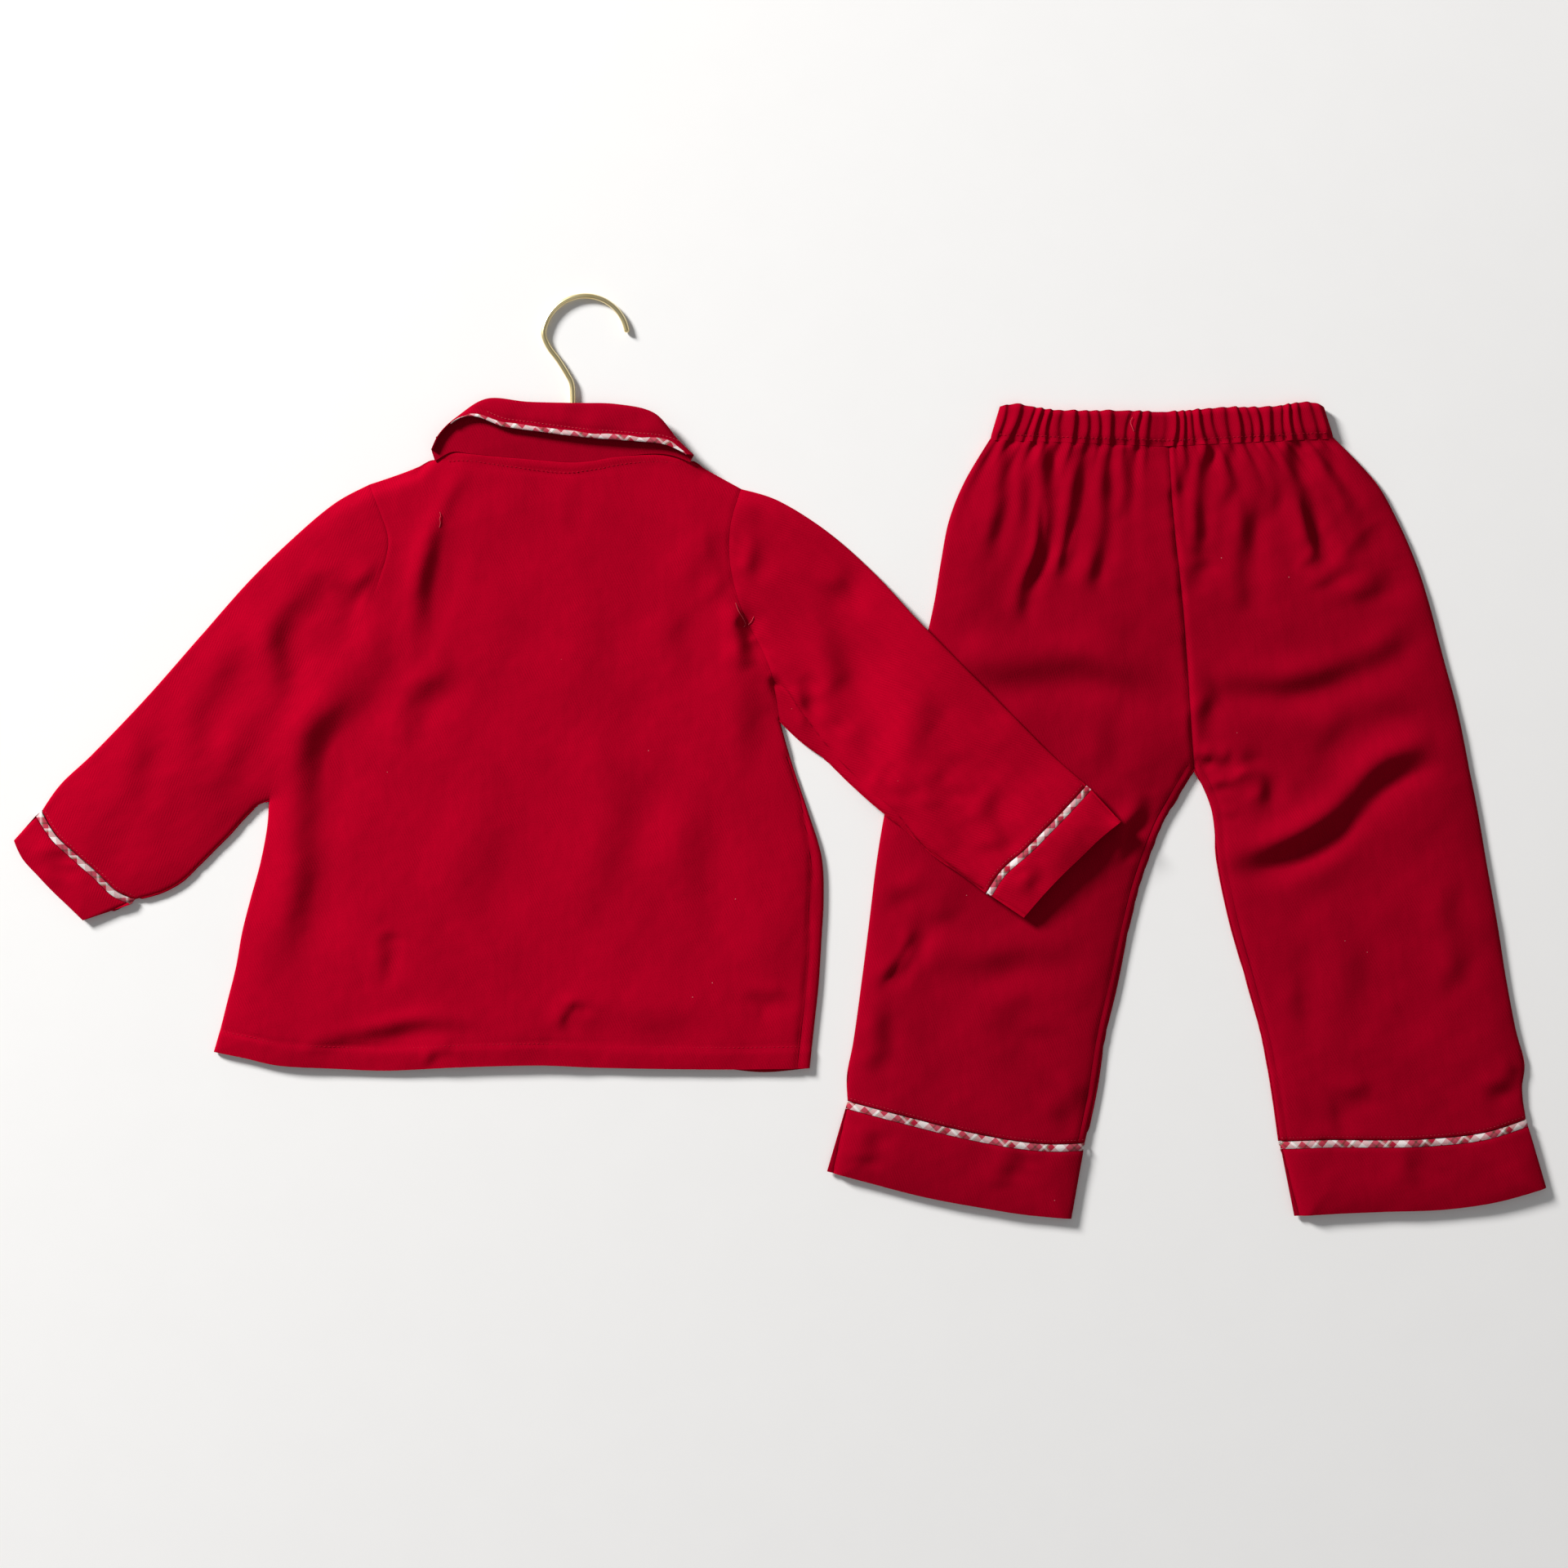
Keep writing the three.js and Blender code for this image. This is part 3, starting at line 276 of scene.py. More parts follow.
COLLAR = [  # rollX rollY edgeX edgeY
    (-213.0, 187.0, -209.0, 187.2), (-208.0, 197.0, -203.6, 194.6), (-197.5, 207.0, -191.6, 204.4),
    (-179.0, 218.2, -172.0, 201.4), (-154.0, 216.2, -148.7, 198.2), (-126.7, 215.4, -122.0, 194.8),
    (-100.0, 214.8, -97.0, 192.8), (-77.0, 209.4, -75.0, 191.0), (-62.5, 193.2, -65.4, 188.4),
    (-52.6, 183.6, -56.6, 183.6),
]
HOOK_BEND = [  # x y z
    (-144.0, 255.0, 1.7), (-141.0, 249.0, 1.7), (-135.7, 242.0, 1.7), (-130.7, 234.0, 1.7),
    (-127.7, 228.0, 1.7),
]
STEM = [  # x y z
    (-127.0, 221.0, 1.7), (-127.0, 212.0, 1.9), (-127.0, 198.0, 3.1), (-127.0, 186.0, 4.3),
    (-127.0, 179.7, 4.6),
]
ARM_WIRE = [  # x y z
    (-244.0, 147.5, 3.4), (-234.0, 150.5, 4.0), (-214.0, 156.5, 4.6), (-175.0, 167.5, 4.6),
    (-145.0, 174.5, 4.6), (-127.0, 176.0, 4.6), (-109.0, 174.5, 4.6), (-79.0, 167.5, 4.6),
    (-40.0, 156.5, 4.6), (-20.0, 150.5, 3.8), (-10.0, 147.5, 3.3),
]
WAIST_TOP = even_spline([
    (131.2, 213.6), (142.6, 215.0), (166.3, 211.4), (211.3, 211.0), (237.3, 210.4), (271.8, 213.0),
    (300.3, 213.4), (324.3, 216.4), (334.8, 213.0),
])

# Centres of the waistband's gathers, across the back
WAIST_GATHERS = [
    130.0, 137.0, 145.8, 152.2, 160.1, 167.3, 176.1, 184.1, 192.0, 199.2, 208.0, 215.1, 221.5, 229.5,
    238.3, 244.6, 250.4, 257.4, 265.4, 271.7, 279.7, 286.1, 291.5, 297.3, 305.2, 311.6, 318.0, 326.0, 334.0,
]
NECK_SEAM = [(-200.3, 187), (-163.9, 183.2), (-125.6, 180.4), (-100, 183.8), (-74.6, 185), (-55, 180.4)]
BINDING_SEAM = [(-204, 180), (-189, 180.0), (-163.7, 176.4), (-132, 173.0), (-112.7, 175.0), (-93.7, 178.4),
                (-72, 179.6), (-60, 177.5)]
SIDE_SEAM = [(4, 0), (11.6, -23), (15, -40.7), (18, -56), (19.3, -73.7), (18, -92.7), (17.8, -111.7),
             (16.8, -129), (14.6, -152.7), (12.3, -174), (11, -190.7)]
UNDERARM_SEAM = [(-3.7, 44.7), (3.4, 41), (14, 25.7), (31.5, 3), (54, -20.6), (70.8, -34.7), (85.7, -53),
                 (99, -63), (117, -76.5), (124, -81)]

TOP_THREADS = [  # each one's course over the cloth, as x y and height above it
    [(-207.6, 148.6, 0.1), (-207.0, 146.6, 0.5), (-207.6, 144.4, 0.6), (-207.2, 142.0, 0.4),
     (-207.8, 139.4, 0.2)],
    [(-27.2, 93.4, 0.2), (-25.4, 88.4, 0.6), (-23.0, 84.6, 0.6), (-21.2, 80.6, 0.5), (-22.2, 78.8, 0.2)],
    [(-16.2, 85.0, 0.2), (-17.6, 82.4, 0.6), (-19.4, 80.2, 0.4)],
]
BAND_THREADS = [
    [(214.8, 206.4, 0.3), (213.6, 203.6, 0.8), (214.4, 200.8, 0.9), (215.6, 198.0, 0.5)],
]

# Folds. A fall is a band where the cloth drops to its lower right, turned from the light: how far it
# drops, half its width, and its line. A crease is a narrow trough: its depth, half width and line.
TOP_FALLS = [
    (3.4, 6, [(-178, 173), (-188, 164), (-201, 146), (-210, 131), (-214, 108), (-216, 76), (-222, 46)]),
    (1.6, 7, [(-197, 60), (-208, 48), (-223, 26), (-232, 4)]),
    (2.8, 8, [(-234, 62), (-251, 42), (-272, 22), (-281, 6), (-286, -20), (-292, -50), (-291, -76),
                (-299, -118), (-304, -144)]),
    (1.5, 6, [(-250, 100), (-260, 103), (-278, 105), (-292, 101)]),
    (2.4, 6.5, [(-286, 107), (-296, 92), (-303, 74), (-305, 50), (-311, 20)]),
    (-1.3, 8, [(-236, 100), (-252, 84), (-268, 66), (-286, 44)]),
    (0.9, 20, [(-250, 84), (-272, 30), (-288, -30), (-296, -90), (-306, -150)]),
    (0.9, 3.8, [(-236, -106), (-239, -112), (-242, -124), (-247, -144)]),
    (1.5, 4.0, [(-292, -183), (-276, -177.5), (-248, -169), (-221, -164), (-198, -167), (-180, -166)]),
    (1.0, 3.4, [(-222, -190), (-210, -184), (-199, -178)]),
    (1.0, 11, [(-110, 128), (-106, 98), (-101, 50), (-100, -10), (-104, -67), (-112, -120)]),
    (1.0, 7, [(-49, 160), (-47, 146), (-46, 114), (-48, 88)]),
    (0.9, 6, [(-58, 98), (-60, 82), (-62, 63), (-61, 40)]),
    (0.8, 4.5, [(-148, 174), (-151, 164), (-156, 146)]),
    (0.8, 4.5, [(-126, 172), (-126, 156), (-128, 130)]),
    (0.7, 4, [(-174, 174), (-180, 158), (-184, 138)]),
    (1.0, 4, [(-24, -151), (-14, -146), (0, -148), (6, -144)]),
    (1.0, 3.6, [(-121, -147), (-127, -156), (-137, -168)]),
    (1.0, 8, [(-150, -168), (-120, -165), (-90, -160), (-58, -163), (-24, -162)]),
    (0.8, 13, [(-176, 40), (-170, -20), (-176, -80), (-168, -140)]),
    (0.9, 9, [(-52, 10), (-46, -40), (-52, -90), (-46, -130)]),
    (1.2, 7, [(-18, 96), (-20, 60), (-18, 20), (-12, -20)]),
    (1.0, 7, [(-330, 70), (-346, 44), (-352, 16), (-346, -20)]),
    (1.1, 7, [(-316, 30), (-326, 8), (-340, -12), (-350, -30)]),
    (0.9, 6, [(-384, 16), (-392, -8), (-390, -36)]),
    (0.8, 5, [(-438, -52), (-444, -66), (-440, -82)]),
    (1.6, 6, [(50, 120), (43, 110), (34, 103), (25, 96)]),
    (2.0, 7, [(22, 108), (26, 90), (30, 64), (42, 44), (52, 22), (47, 2), (44, -16)]),
    (0.9, 5, [(30, 50), (34, 34), (31, 14)]),
    (1.5, 4, [(-16, 162), (-15, 146), (-15, 118), (-18, 104)]),
    (1.8, 4, [(8, 45), (14, 36), (15, 22), (12, 10)]),
    (1.6, 5, [(-34, 148), (-38, 120), (-32, 96)]),
    (2.0, 4.5, [(-22, 96), (-24, 82), (-20, 68), (-14, 54)]),
    (1.2, 5, [(56, -10), (66, -24), (76, -38)]),
    (1.0, 8, [(82, 64), (88, 38), (84, 8), (88, -20)]),
    (1.2, 5.5, [(92, 0), (96, -16), (99, -32)]),
    (1.3, 5.5, [(124, -18), (130, -34), (132, -50), (130, -62)]),
    (1.0, 4.5, [(148, -60), (153, -72), (153, -92)]),
]
TOP_CREASES = [
    (0.3, 2.0, [(-123, -149), (-128, -158), (-134, -165)]),
    (2.4, 3.8, [(-6, 50), (0, 39), (7, 30), (14, 21)]), (1.4, 4.0, [(-26, 84), (-20, 78), (-15, 72)]),
]
TROUSER_FALLS = [
    (1.2, 3.4, [(139, 196), (137, 170), (131, 139), (128, 112)]),
    (2.4, 3.6, [(164, 192), (161.5, 150), (159, 121), (149, 98), (144, 80)]),
    (2.0, 3.4, [(184.5, 192), (182.5, 167), (174, 126), (169, 106)]),
    (1.6, 3.6, [(202, 190), (198, 150), (193.6, 116), (190, 96)]),
    (1.0, 3.2, [(150, 192), (150, 168), (146, 136)]),
    (1.0, 3.4, [(214, 190), (212, 168), (209, 142)]),
    (1.2, 3.0, [(249, 192), (246.5, 172), (243, 156)]),
    (1.6, 3.2, [(263, 193), (258, 172), (255, 140), (253, 118)]),
    (1.1, 4.5, [(258, 128), (254.4, 118), (251, 98)]),
    (1.6, 5, [(287, 166), (286, 144), (283.5, 104), (280, 86)]),
    (0.9, 3.2, [(274, 192), (273.5, 172), (271, 148)]),
    (2.5, 4.0, [(311, 194), (314, 172), (321, 150), (328, 130), (330, 116)]),
    (1.4, 3.8, [(330, 192), (337, 172), (350, 148)]),
    (1.1, 3.6, [(298, 192), (301, 170), (305, 144)]),
    (3.0, 8, [(104, 66), (118, 57), (148, 50), (177, 52), (210, 45), (240, 51)]),
    (0.9, 6.5, [(210, 42), (203, 22), (197, 2), (191, -18)]),
    (2.4, 6, [(262, 38), (271, 42), (311, 45), (350, 55), (373, 63), (390, 86)]),
    (1.3, 6, [(322, 132), (331, 120), (333, 100)]),
    (2.3, 9, [(346, 132), (358, 112), (360, 88)]),
    (1.5, 4.6, [(256, 60), (259, 40), (260, 24), (258, 6)]),
    (1.7, 3.0, [(252, -8), (260, -4), (268, -2), (277, 0)]),
    (2.0, 4.4, [(279, -1), (285, -5), (292, -13), (297, -24), (297, -38)]),
    (1.1, 2.2, [(259, -20), (266, -19.5), (280, -16)]),
    (0.7, 2.2, [(264, -36.5), (272, -36), (281, -35)]),
    (4.9, 6.2, [(264, -74), (277, -69), (302, -58), (330, -43), (350, -28), (370, -11),
                  (392, -2), (404, 2)]),
    (1.2, 7, [(316, 8), (342, 16), (372, 28), (402, 36)]),
    (1.0, 9, [(262, -96), (300, -88), (340, -66), (380, -46)]),
    (2.4, 4.5, [(226, -22), (219, -34), (214, -50), (213, -66)]),
    (1.5, 6, [(62, -78), (76, -86), (90, -94), (106, -106)]),
    (1.4, 3.8, [(88, -104), (80, -117), (69, -132), (58, -148)]),
    (1.7, 7, [(86, -120), (100, -124), (131, -129), (164, -122), (186, -118)]),
    (1.6, 5, [(60, -146), (63, -164), (60, -180), (54, -196)]),
    (1.0, 6, [(188, -196), (178, -212), (166, -228)]),
    (0.9, 8, [(150, -140), (140, -166), (146, -190)]),
    (1.0, 8, [(340, -86), (350, -120), (348, -150), (354, -180)]),
    (1.3, 6, [(362, -192), (352, -204), (342, -214), (330, -226)]),
    (1.0, 6, [(408, -70), (412, -110), (410, -150)]),
    (1.2, 4.5, [(452, -188), (442, -200), (428, -212)]),
    (0.8, 5, [(310, -120), (318, -150), (314, -182)]),
    (1.0, 5, [(58, -226), (54, -238), (48, -252)]),
    (0.9, 5, [(146, -236), (140, -250), (142, -264)]),
    (0.8, 5, [(392, -232), (386, -250), (388, -266)]),
]
TROUSER_CREASES = [
    (0.5, 2.0, [(84, -108), (72, -127), (62, -142)]), (1.6, 3.0, [(253, -1), (258, -4), (264, -6)]),
    (0.8, 2.4, [(160, 160), (158.5, 124), (150, 100)]), (0.8, 2.4, [(318, 160), (326, 136), (329, 122)]),
    (0.7, 2.4, [(180, 150), (175, 128), (171, 112)]), (1.2, 3.4, [(216, -40), (213, -54), (213, -66)]),
]


def joined(first, second, share):
    """Two lines end to end, the first up to the given share of the whole."""

    def at(t):
        t = np.asarray(t, float)
        return np.where((t <= share)[..., None], first(t / share), second((t - share) / (1 - share)))

    return at


def shifted(path, distance):
    """A line moved sideways, to its left as it runs."""
    step = 0.004

    def at(t):
        t = np.asarray(t, float)
        way = path(np.minimum(1, t + step)) - path(np.maximum(0, t - step))
        way /= np.linalg.norm(way, axis=-1, keepdims=True)
        return path(t) + distance * np.stack([-way[..., 1], way[..., 0]], -1)

    return at


def reverse(path):
    return lambda t: path(1 - np.asarray(t, float))


def straight(start, end):
    return lambda t: start + (end - start) * np.asarray(t, float)[..., None]


def plan_between(start, end, near, far):
    """A panel's plan between four lines: start and end run across it, near and far along it."""

    def at(u, v):
        u, v = np.broadcast_arrays(np.asarray(u, float), np.asarray(v, float))
        across, along = u[..., None], v[..., None]
        between = near(v) * (1 - across) + far(v) * across
        first = start(u) - start(0.0) * (1 - across) - start(1.0) * across
        last = end(u) - end(0.0) * (1 - across) - end(1.0) * across
        return between + (1 - along) * first + along * last

    return at


def turned(plan):
    return lambda u, v: plan(v, u)


def strip_plan(first, last):
    """A strip between two lines."""
    return lambda u, v: first(u) * (1 - np.asarray(v)[..., None]) + last(u) * np.asarray(v)[..., None]


def gap_to(first, last):
    """The first line, moved by one seam gap towards the last."""

    def at(t):
        way = last(t) - first(t)
        return first(t) + SEAM_GAP * way / np.linalg.norm(way, axis=-1, keepdims=True)

    return at


# Plans of the panels
LEFT_EDGE = joined(LEFT_ARMHOLE, LEFT_SIDE, 0.5)
RIGHT_EDGE = joined(RIGHT_ARMHOLE, RIGHT_SIDE, 0.5)
BACK_PLAN = plan_between(spline(BACK_TOP), HEM, LEFT_EDGE, RIGHT_EDGE)
FRONT_TOP = BACK_TOP[:3] + FRONT_NECK + BACK_TOP[13:]
FRONT_PLAN = plan_between(spline(FRONT_TOP), FRONT_HEM, LEFT_EDGE, RIGHT_EDGE)
LEFT_SLEEVE_PLAN = turned(plan_between(LEFT_SLEEVE_UPPER, LEFT_SLEEVE_LOWER, LEFT_ARMHOLE, LEFT_PIPING))
RIGHT_SLEEVE_PLAN = turned(
    plan_between(RIGHT_SLEEVE_UPPER, RIGHT_SLEEVE_LOWER, RIGHT_ARMHOLE, RIGHT_PIPING)
)
CROTCH_SHARE = 7 / 15
LEFT_LEG_EDGE = joined(LEFT_LEG_OUTER_ABOVE, LEFT_LEG_OUTER_BELOW, CROTCH_SHARE)
RIGHT_LEG_EDGE = joined(RIGHT_LEG_OUTER_ABOVE, RIGHT_LEG_OUTER_BELOW, CROTCH_SHARE)
LEFT_INSIDE = joined(CENTRE_SEAM, LEFT_LEG_INNER, CROTCH_SHARE)
RIGHT_INSIDE = joined(CENTRE_SEAM, RIGHT_LEG_INNER, CROTCH_SHARE)
LEFT_LEG_PLAN = plan_between(
    straight(LEFT_LEG_EDGE(0.0), LEFT_INSIDE(0.0)), LEFT_LEG_PIPING, LEFT_LEG_EDGE, LEFT_INSIDE
)
RIGHT_LEG_PLAN = plan_between(
    straight(RIGHT_LEG_EDGE(0.0), RIGHT_INSIDE(0.0)), reverse(RIGHT_LEG_PIPING), RIGHT_LEG_EDGE,
    RIGHT_INSIDE,
)
COLLAR_ROLL = spline([(row[0], row[1]) for row in COLLAR])
COLLAR_EDGE = spline([(row[2], row[3]) for row in COLLAR])


def fall_edge(v):
    """The fall's free edge, which curls in to the roll at the left end."""
    v = np.asarray(v, float)
    width = (0.15 + 0.85 * smooth(0.17, 0.36, v))[..., None]
    return COLLAR_ROLL(v) * (1 - width) + COLLAR_EDGE(v) * width


NECKLINE = spline([(x, y - NECK_TUCK) for x, y in BACK_TOP[3:13]])


def outline_of(*edges, samples=24):
    """Points round a garment, with open ends pushed out so that they don't close."""
    return np.concatenate([edge(np.arange(samples) / samples) for edge in edges])


TOP_OUTLINE = outline_of(
    spline(BACK_TOP[:3]), COLLAR_ROLL, spline(BACK_TOP[13:]), RIGHT_SLEEVE_UPPER,
    shifted(RIGHT_CUFF_END, HEM_OPEN), reverse(RIGHT_SLEEVE_LOWER), RIGHT_SIDE,
    reverse(shifted(HEM, -HEM_OPEN)), reverse(LEFT_SIDE), LEFT_SLEEVE_LOWER,
    reverse(shifted(LEFT_CUFF_END, -HEM_OPEN)), reverse(LEFT_SLEEVE_UPPER),
)
TROUSER_OUTLINE = outline_of(
    WAIST_TOP, RIGHT_LEG_EDGE, reverse(shifted(RIGHT_LEG_CUFF_END, -HEM_OPEN)), reverse(RIGHT_LEG_INNER),
    LEFT_LEG_INNER, reverse(shifted(LEFT_LEG_CUFF_END, -HEM_OPEN)), reverse(LEFT_LEG_EDGE),
)


# Distances and heights, for arrays of points whose last axis is x y
def to_lines(points, line, closed=False):
    """How far each point is from a line of straight stretches, its share along it, and its side."""
    starts = line if closed else line[:-1]
    ends = np.roll(line, -1, 0) if closed else line[1:]
    flat = points.reshape(-1, 2)
    away, along, side = (np.empty(len(flat)) for _ in range(3))
    inside = np.zeros(len(flat), bool)
    chunk = 6000
    way = ends - starts
    for first in range(0, len(flat), chunk):
        part = slice(first, first + chunk)
        x = flat[part, 0:1] - starts[:, 0]
        y = flat[part, 1:2] - starts[:, 1]
        share = np.clip((x * way[:, 0] + y * way[:, 1]) / (way**2).sum(1), 0, 1)
        distance = np.hypot(x - share * way[:, 0], y - share * way[:, 1])
        nearest = distance.argmin(1)
        pick = np.arange(len(nearest)), nearest
        away[part] = distance[pick]
        along[part] = (nearest + share[pick]) / len(starts)
        side[part] = np.sign(way[nearest, 0] * y[pick] - way[nearest, 1] * x[pick])
        if closed:
            above = starts[:, 1] > flat[part, 1:2]
            crosses = above != (ends[:, 1] > flat[part, 1:2])
            with np.errstate(divide="ignore", invalid="ignore"):
                left = x < way[:, 0] * y / way[:, 1]
            inside[part] = (crosses & left).sum(1) % 2 == 1
    shape = points.shape[:-1]
    if closed:
        return np.where(inside, away, -away).reshape(shape)
    return away.reshape(shape), along.reshape(shape), side.reshape(shape)


def smooth(start, end, value):
    share = np.clip((value - start) / (end - start), 0, 1)
    return share * share * (3 - 2 * share)


def soft_max(a, b, blend=0.8):
    return (a + b + np.sqrt((a - b) ** 2 + blend**2) - blend) / 2


def fold_height(falls, creases, points):
    """Falls drop away from the light on the side that is furthest to the right and down."""
    total = np.zeros(points.shape[:-1])
    for number, (drop, width, line) in enumerate(falls):
        away, along, side = to_lines(points, spline(line)(np.linspace(0, 1, 5 * len(line))))
        across, up = np.subtract(line[-1], line[0])
        share = away * side * (1 if -up - across > 0 else -1) / (FOLD_SPREAD * width)
        share += FOLD_SWAY * np.sin(9 * along + 2.4 * number)
        start = WAIST_START if line[0][1] > WAIST_LINE else FOLD_END
        ends = smooth(0, start, along) * smooth(0, FOLD_END, 1 - along)
        uneven = 1 + FOLD_UNEVEN * np.sin(13 * along + 1.7 * number)
        total -= 0.82 * drop * share * np.exp(-(share**2) / 2) * ends * uneven
    for depth, width, line in creases:
        away, along, _ = to_lines(points, spline(line)(np.linspace(0, 1, 5 * len(line))))
        total -= depth * np.exp(-((away / width) ** 2)) * smooth(0, 0.3, along) * smooth(0, 0.3, 1 - along)
    return FOLD_GAIN * total


def ripples(points, length, seed, waves=12):
    """Uneven swells of about the given length, from -1 to 1 or so."""
    draw = np.random.default_rng(seed)
    total = np.zeros(points.shape[:-1])
    for _ in range(waves):
        angle, start = draw.uniform(0, math.pi), draw.uniform(0, 2 * math.pi)
        stretch = draw.uniform(0.7, 1.4)
        turn = 2 * math.pi / (length * stretch)
        place = points[..., 0] * math.cos(angle) + points[..., 1] * math.sin(angle)
        total += np.cos(turn * place + start)
    return total / math.sqrt(waves)


def crumple(points, seed):
    return (
        0.50 * ripples(points, 75, seed) + 0.24 * ripples(points, 34, seed + 1)
        + 0.05 * ripples(points, 13, seed + 2)
    )


def roundness(depth):
    return np.sqrt(1 - (1 - np.clip(depth / EDGE_ROUND, 0, 1)) ** 2)


def loose_rise(points, depth, folds, seed):
    """The soft rise of an upper leaf from its edges, with its folds."""
    rise = LOFT * (1 - np.exp(-depth / LOFT_REACH))
    return rise + (folds + crumple(points, seed)) * (1 - np.exp(-depth / FOLD_FADE))


def leaf_lift(points):
    """The fronts and the back lie over the collar's front leaves near the neck."""
    beside = 1 - smooth(89, 102, np.abs(points[..., 0] + 134))
    return (CLOTH + SEAM_GAP) * beside * smooth(62, 94, points[..., 1])


def placket_lift(points):
    away, _, _ = to_lines(points, np.array([(-131, 146), (-166, -190)], float))
    return (CLOTH + SEAM_GAP) * (1 - smooth(PLACKET_HALF, PLACKET_HALF + PLACKET_RAMP, away))


def wire_lift(points):
    """The height that the cloth needs over the hanger's wire, above two walls and their gap."""
    need = np.zeros(points.shape[:-1])
    for wire in (STEM, ARM_WIRE):
        for start, end in zip(wire, wire[1:]):
            away, along, _ = to_lines(points, np.array([start[:2], end[:2]], float))
            crown = start[2] * (1 - along) + end[2] * along + WIRE_RADIUS + WIRE_GAP
            need = np.maximum(need, crown - WIRE_DRAPE * np.maximum(0, away - WIRE_CLEAR))
    return need - CLOTH - SEAM_GAP


def top_rise(points, depth):
    depth = np.maximum(depth, 0)
    loose = loose_rise(points, depth, fold_height(TOP_FALLS, TOP_CREASES, points), 11)
    held = wire_lift(points) * (1 - np.exp(-((depth / WIRE_FADE) ** 2)))
    stacked = leaf_lift(points) + placket_lift(points)
    return np.maximum(0, soft_max(soft_max(loose, held, 2.5), stacked))


def trouser_rise(points, depth):
    depth = np.maximum(depth, 0)
    return np.maximum(0, loose_rise(points, depth, fold_height(TROUSER_FALLS, TROUSER_CREASES, points), 47))


def depth_in(outline, points):
    return to_lines(points, outline, closed=True)


def trouser_top(points):
    depth = depth_in(TROUSER_OUTLINE, points)
    return MID + MID * roundness(depth) + trouser_rise(points, depth)


def on_floor(points):
    return np.zeros(points.shape[:-1])


def on_leg(points):
    """The right sleeve's underside, where it climbs onto the trousers and lies on them."""
    depth = depth_in(TROUSER_OUTLINE, points)
    climb = SLEEVE_REST * smooth(-SLEEVE_RAMP, SLEEVE_RAMP_END, depth)
    leg = np.where(depth > 0, trouser_top(points) + 0.4, 0)
    to_cuff, _, _ = to_lines(points, RIGHT_CUFF_END(np.linspace(0, 1, 20)))
    spring = CUFF_SPRING * (1 - smooth(0, 60, to_cuff)) * smooth(-10, 20, depth)
    return np.maximum(climb, leg) + spring


# Seams that dent the cloth: line, depth and half width of the dent. Shade is painted on the cloth along them.
def sampled(path, count=40):
    return path(np.linspace(0, 1, count))


TOP_SEAMS = [  # line, depth, half width, and the share of its length that it shows over
    (sampled(LEFT_ARMHOLE), 0.25, 1.0, 0.42), (sampled(RIGHT_ARMHOLE), 0.3, 1.6, 1),
    (sampled(spline(SIDE_SEAM)), 0.8, 1.6, 1), (sampled(spline(UNDERARM_SEAM)), 0.8, 1.6, 1),
    (sampled(LEFT_PIPING), 0.6, 1.4, 1), (sampled(LEFT_CUFF_START), 0.45, 1.4, 1),
    (sampled(RIGHT_PIPING), 0.6, 1.4, 1), (sampled(RIGHT_CUFF_START), 0.45, 1.4, 1),
    (sampled(spline(NECK_SEAM)), 0.5, 1.3, 1),
]
TOP_STITCH_DENTS = [
    (sampled(shifted(HEM, HEM_DEPTH)), 0.35, 1.5, 1), (sampled(spline(BINDING_SEAM)), 0.4, 1.6, 1),
]
CUFF_SEAM_LINES = [
    sampled(LEFT_LEG_PIPING), sampled(RIGHT_LEG_PIPING),
    sampled(shifted(LEFT_LEG_PIPING, -LEG_PIPING)), sampled(shifted(RIGHT_LEG_PIPING, -LEG_PIPING)),
]
TROUSER_SEAMS = [
    (sampled(CENTRE_SEAM), 1.2, 1.9, 1),
    (sampled(shifted(LEFT_LEG_INNER, -INSEAM_INSET)), 0.5, 1.6, 1),
    (sampled(shifted(RIGHT_LEG_INNER, INSEAM_INSET)), 0.5, 1.6, 1),
    *[(line, 0.6, 1.5, 1) for line in CUFF_SEAM_LINES],
]


def seam_dents(points, seams):
    """The dents' height, and the distance to the nearest seam."""
    dents, nearest = np.zeros(points.shape[:-1]), np.full(points.shape[:-1], 40.0)
    for line, depth, width, shown in seams:
        away, along, _ = to_lines(points, line)
        clear = 1 - smooth(shown - 0.1, shown + 0.04, along) if shown < 1 else 1
        uneven = 1 + 0.2 * np.sin(along * 37) + 0.12 * np.sin(along * 91 + 2)
        dents -= depth * uneven * clear * np.exp(-((away / width) ** 2))
        faint = SEAM_FAINT if depth < 0.35 else 0
        nearest = np.minimum(nearest, away + faint + 4 * (1 - clear))
    return dents, nearest


# Meshes
def graded(count, width, edges=(0, 0.5, 1.2, 2.2, 3.6)):
    """Steps across a panel from 0 to 1, close together at its edges."""
    beside = np.array(edges) / width
    middle = np.linspace(beside[-1], 1 - beside[-1], count)[1:-1]
    return np.concatenate([beside, middle, (1 - beside)[::-1]])


def grain(points, angle):
    """Where a point of the plan lies in its panel's weave, with the warp turned by the angle."""
    turn = math.radians(angle)
    x, y = points[..., 0], points[..., 1]
    return np.stack([x * math.cos(turn) + y * math.sin(turn), y * math.cos(turn) - x * math.sin(turn)], -1)


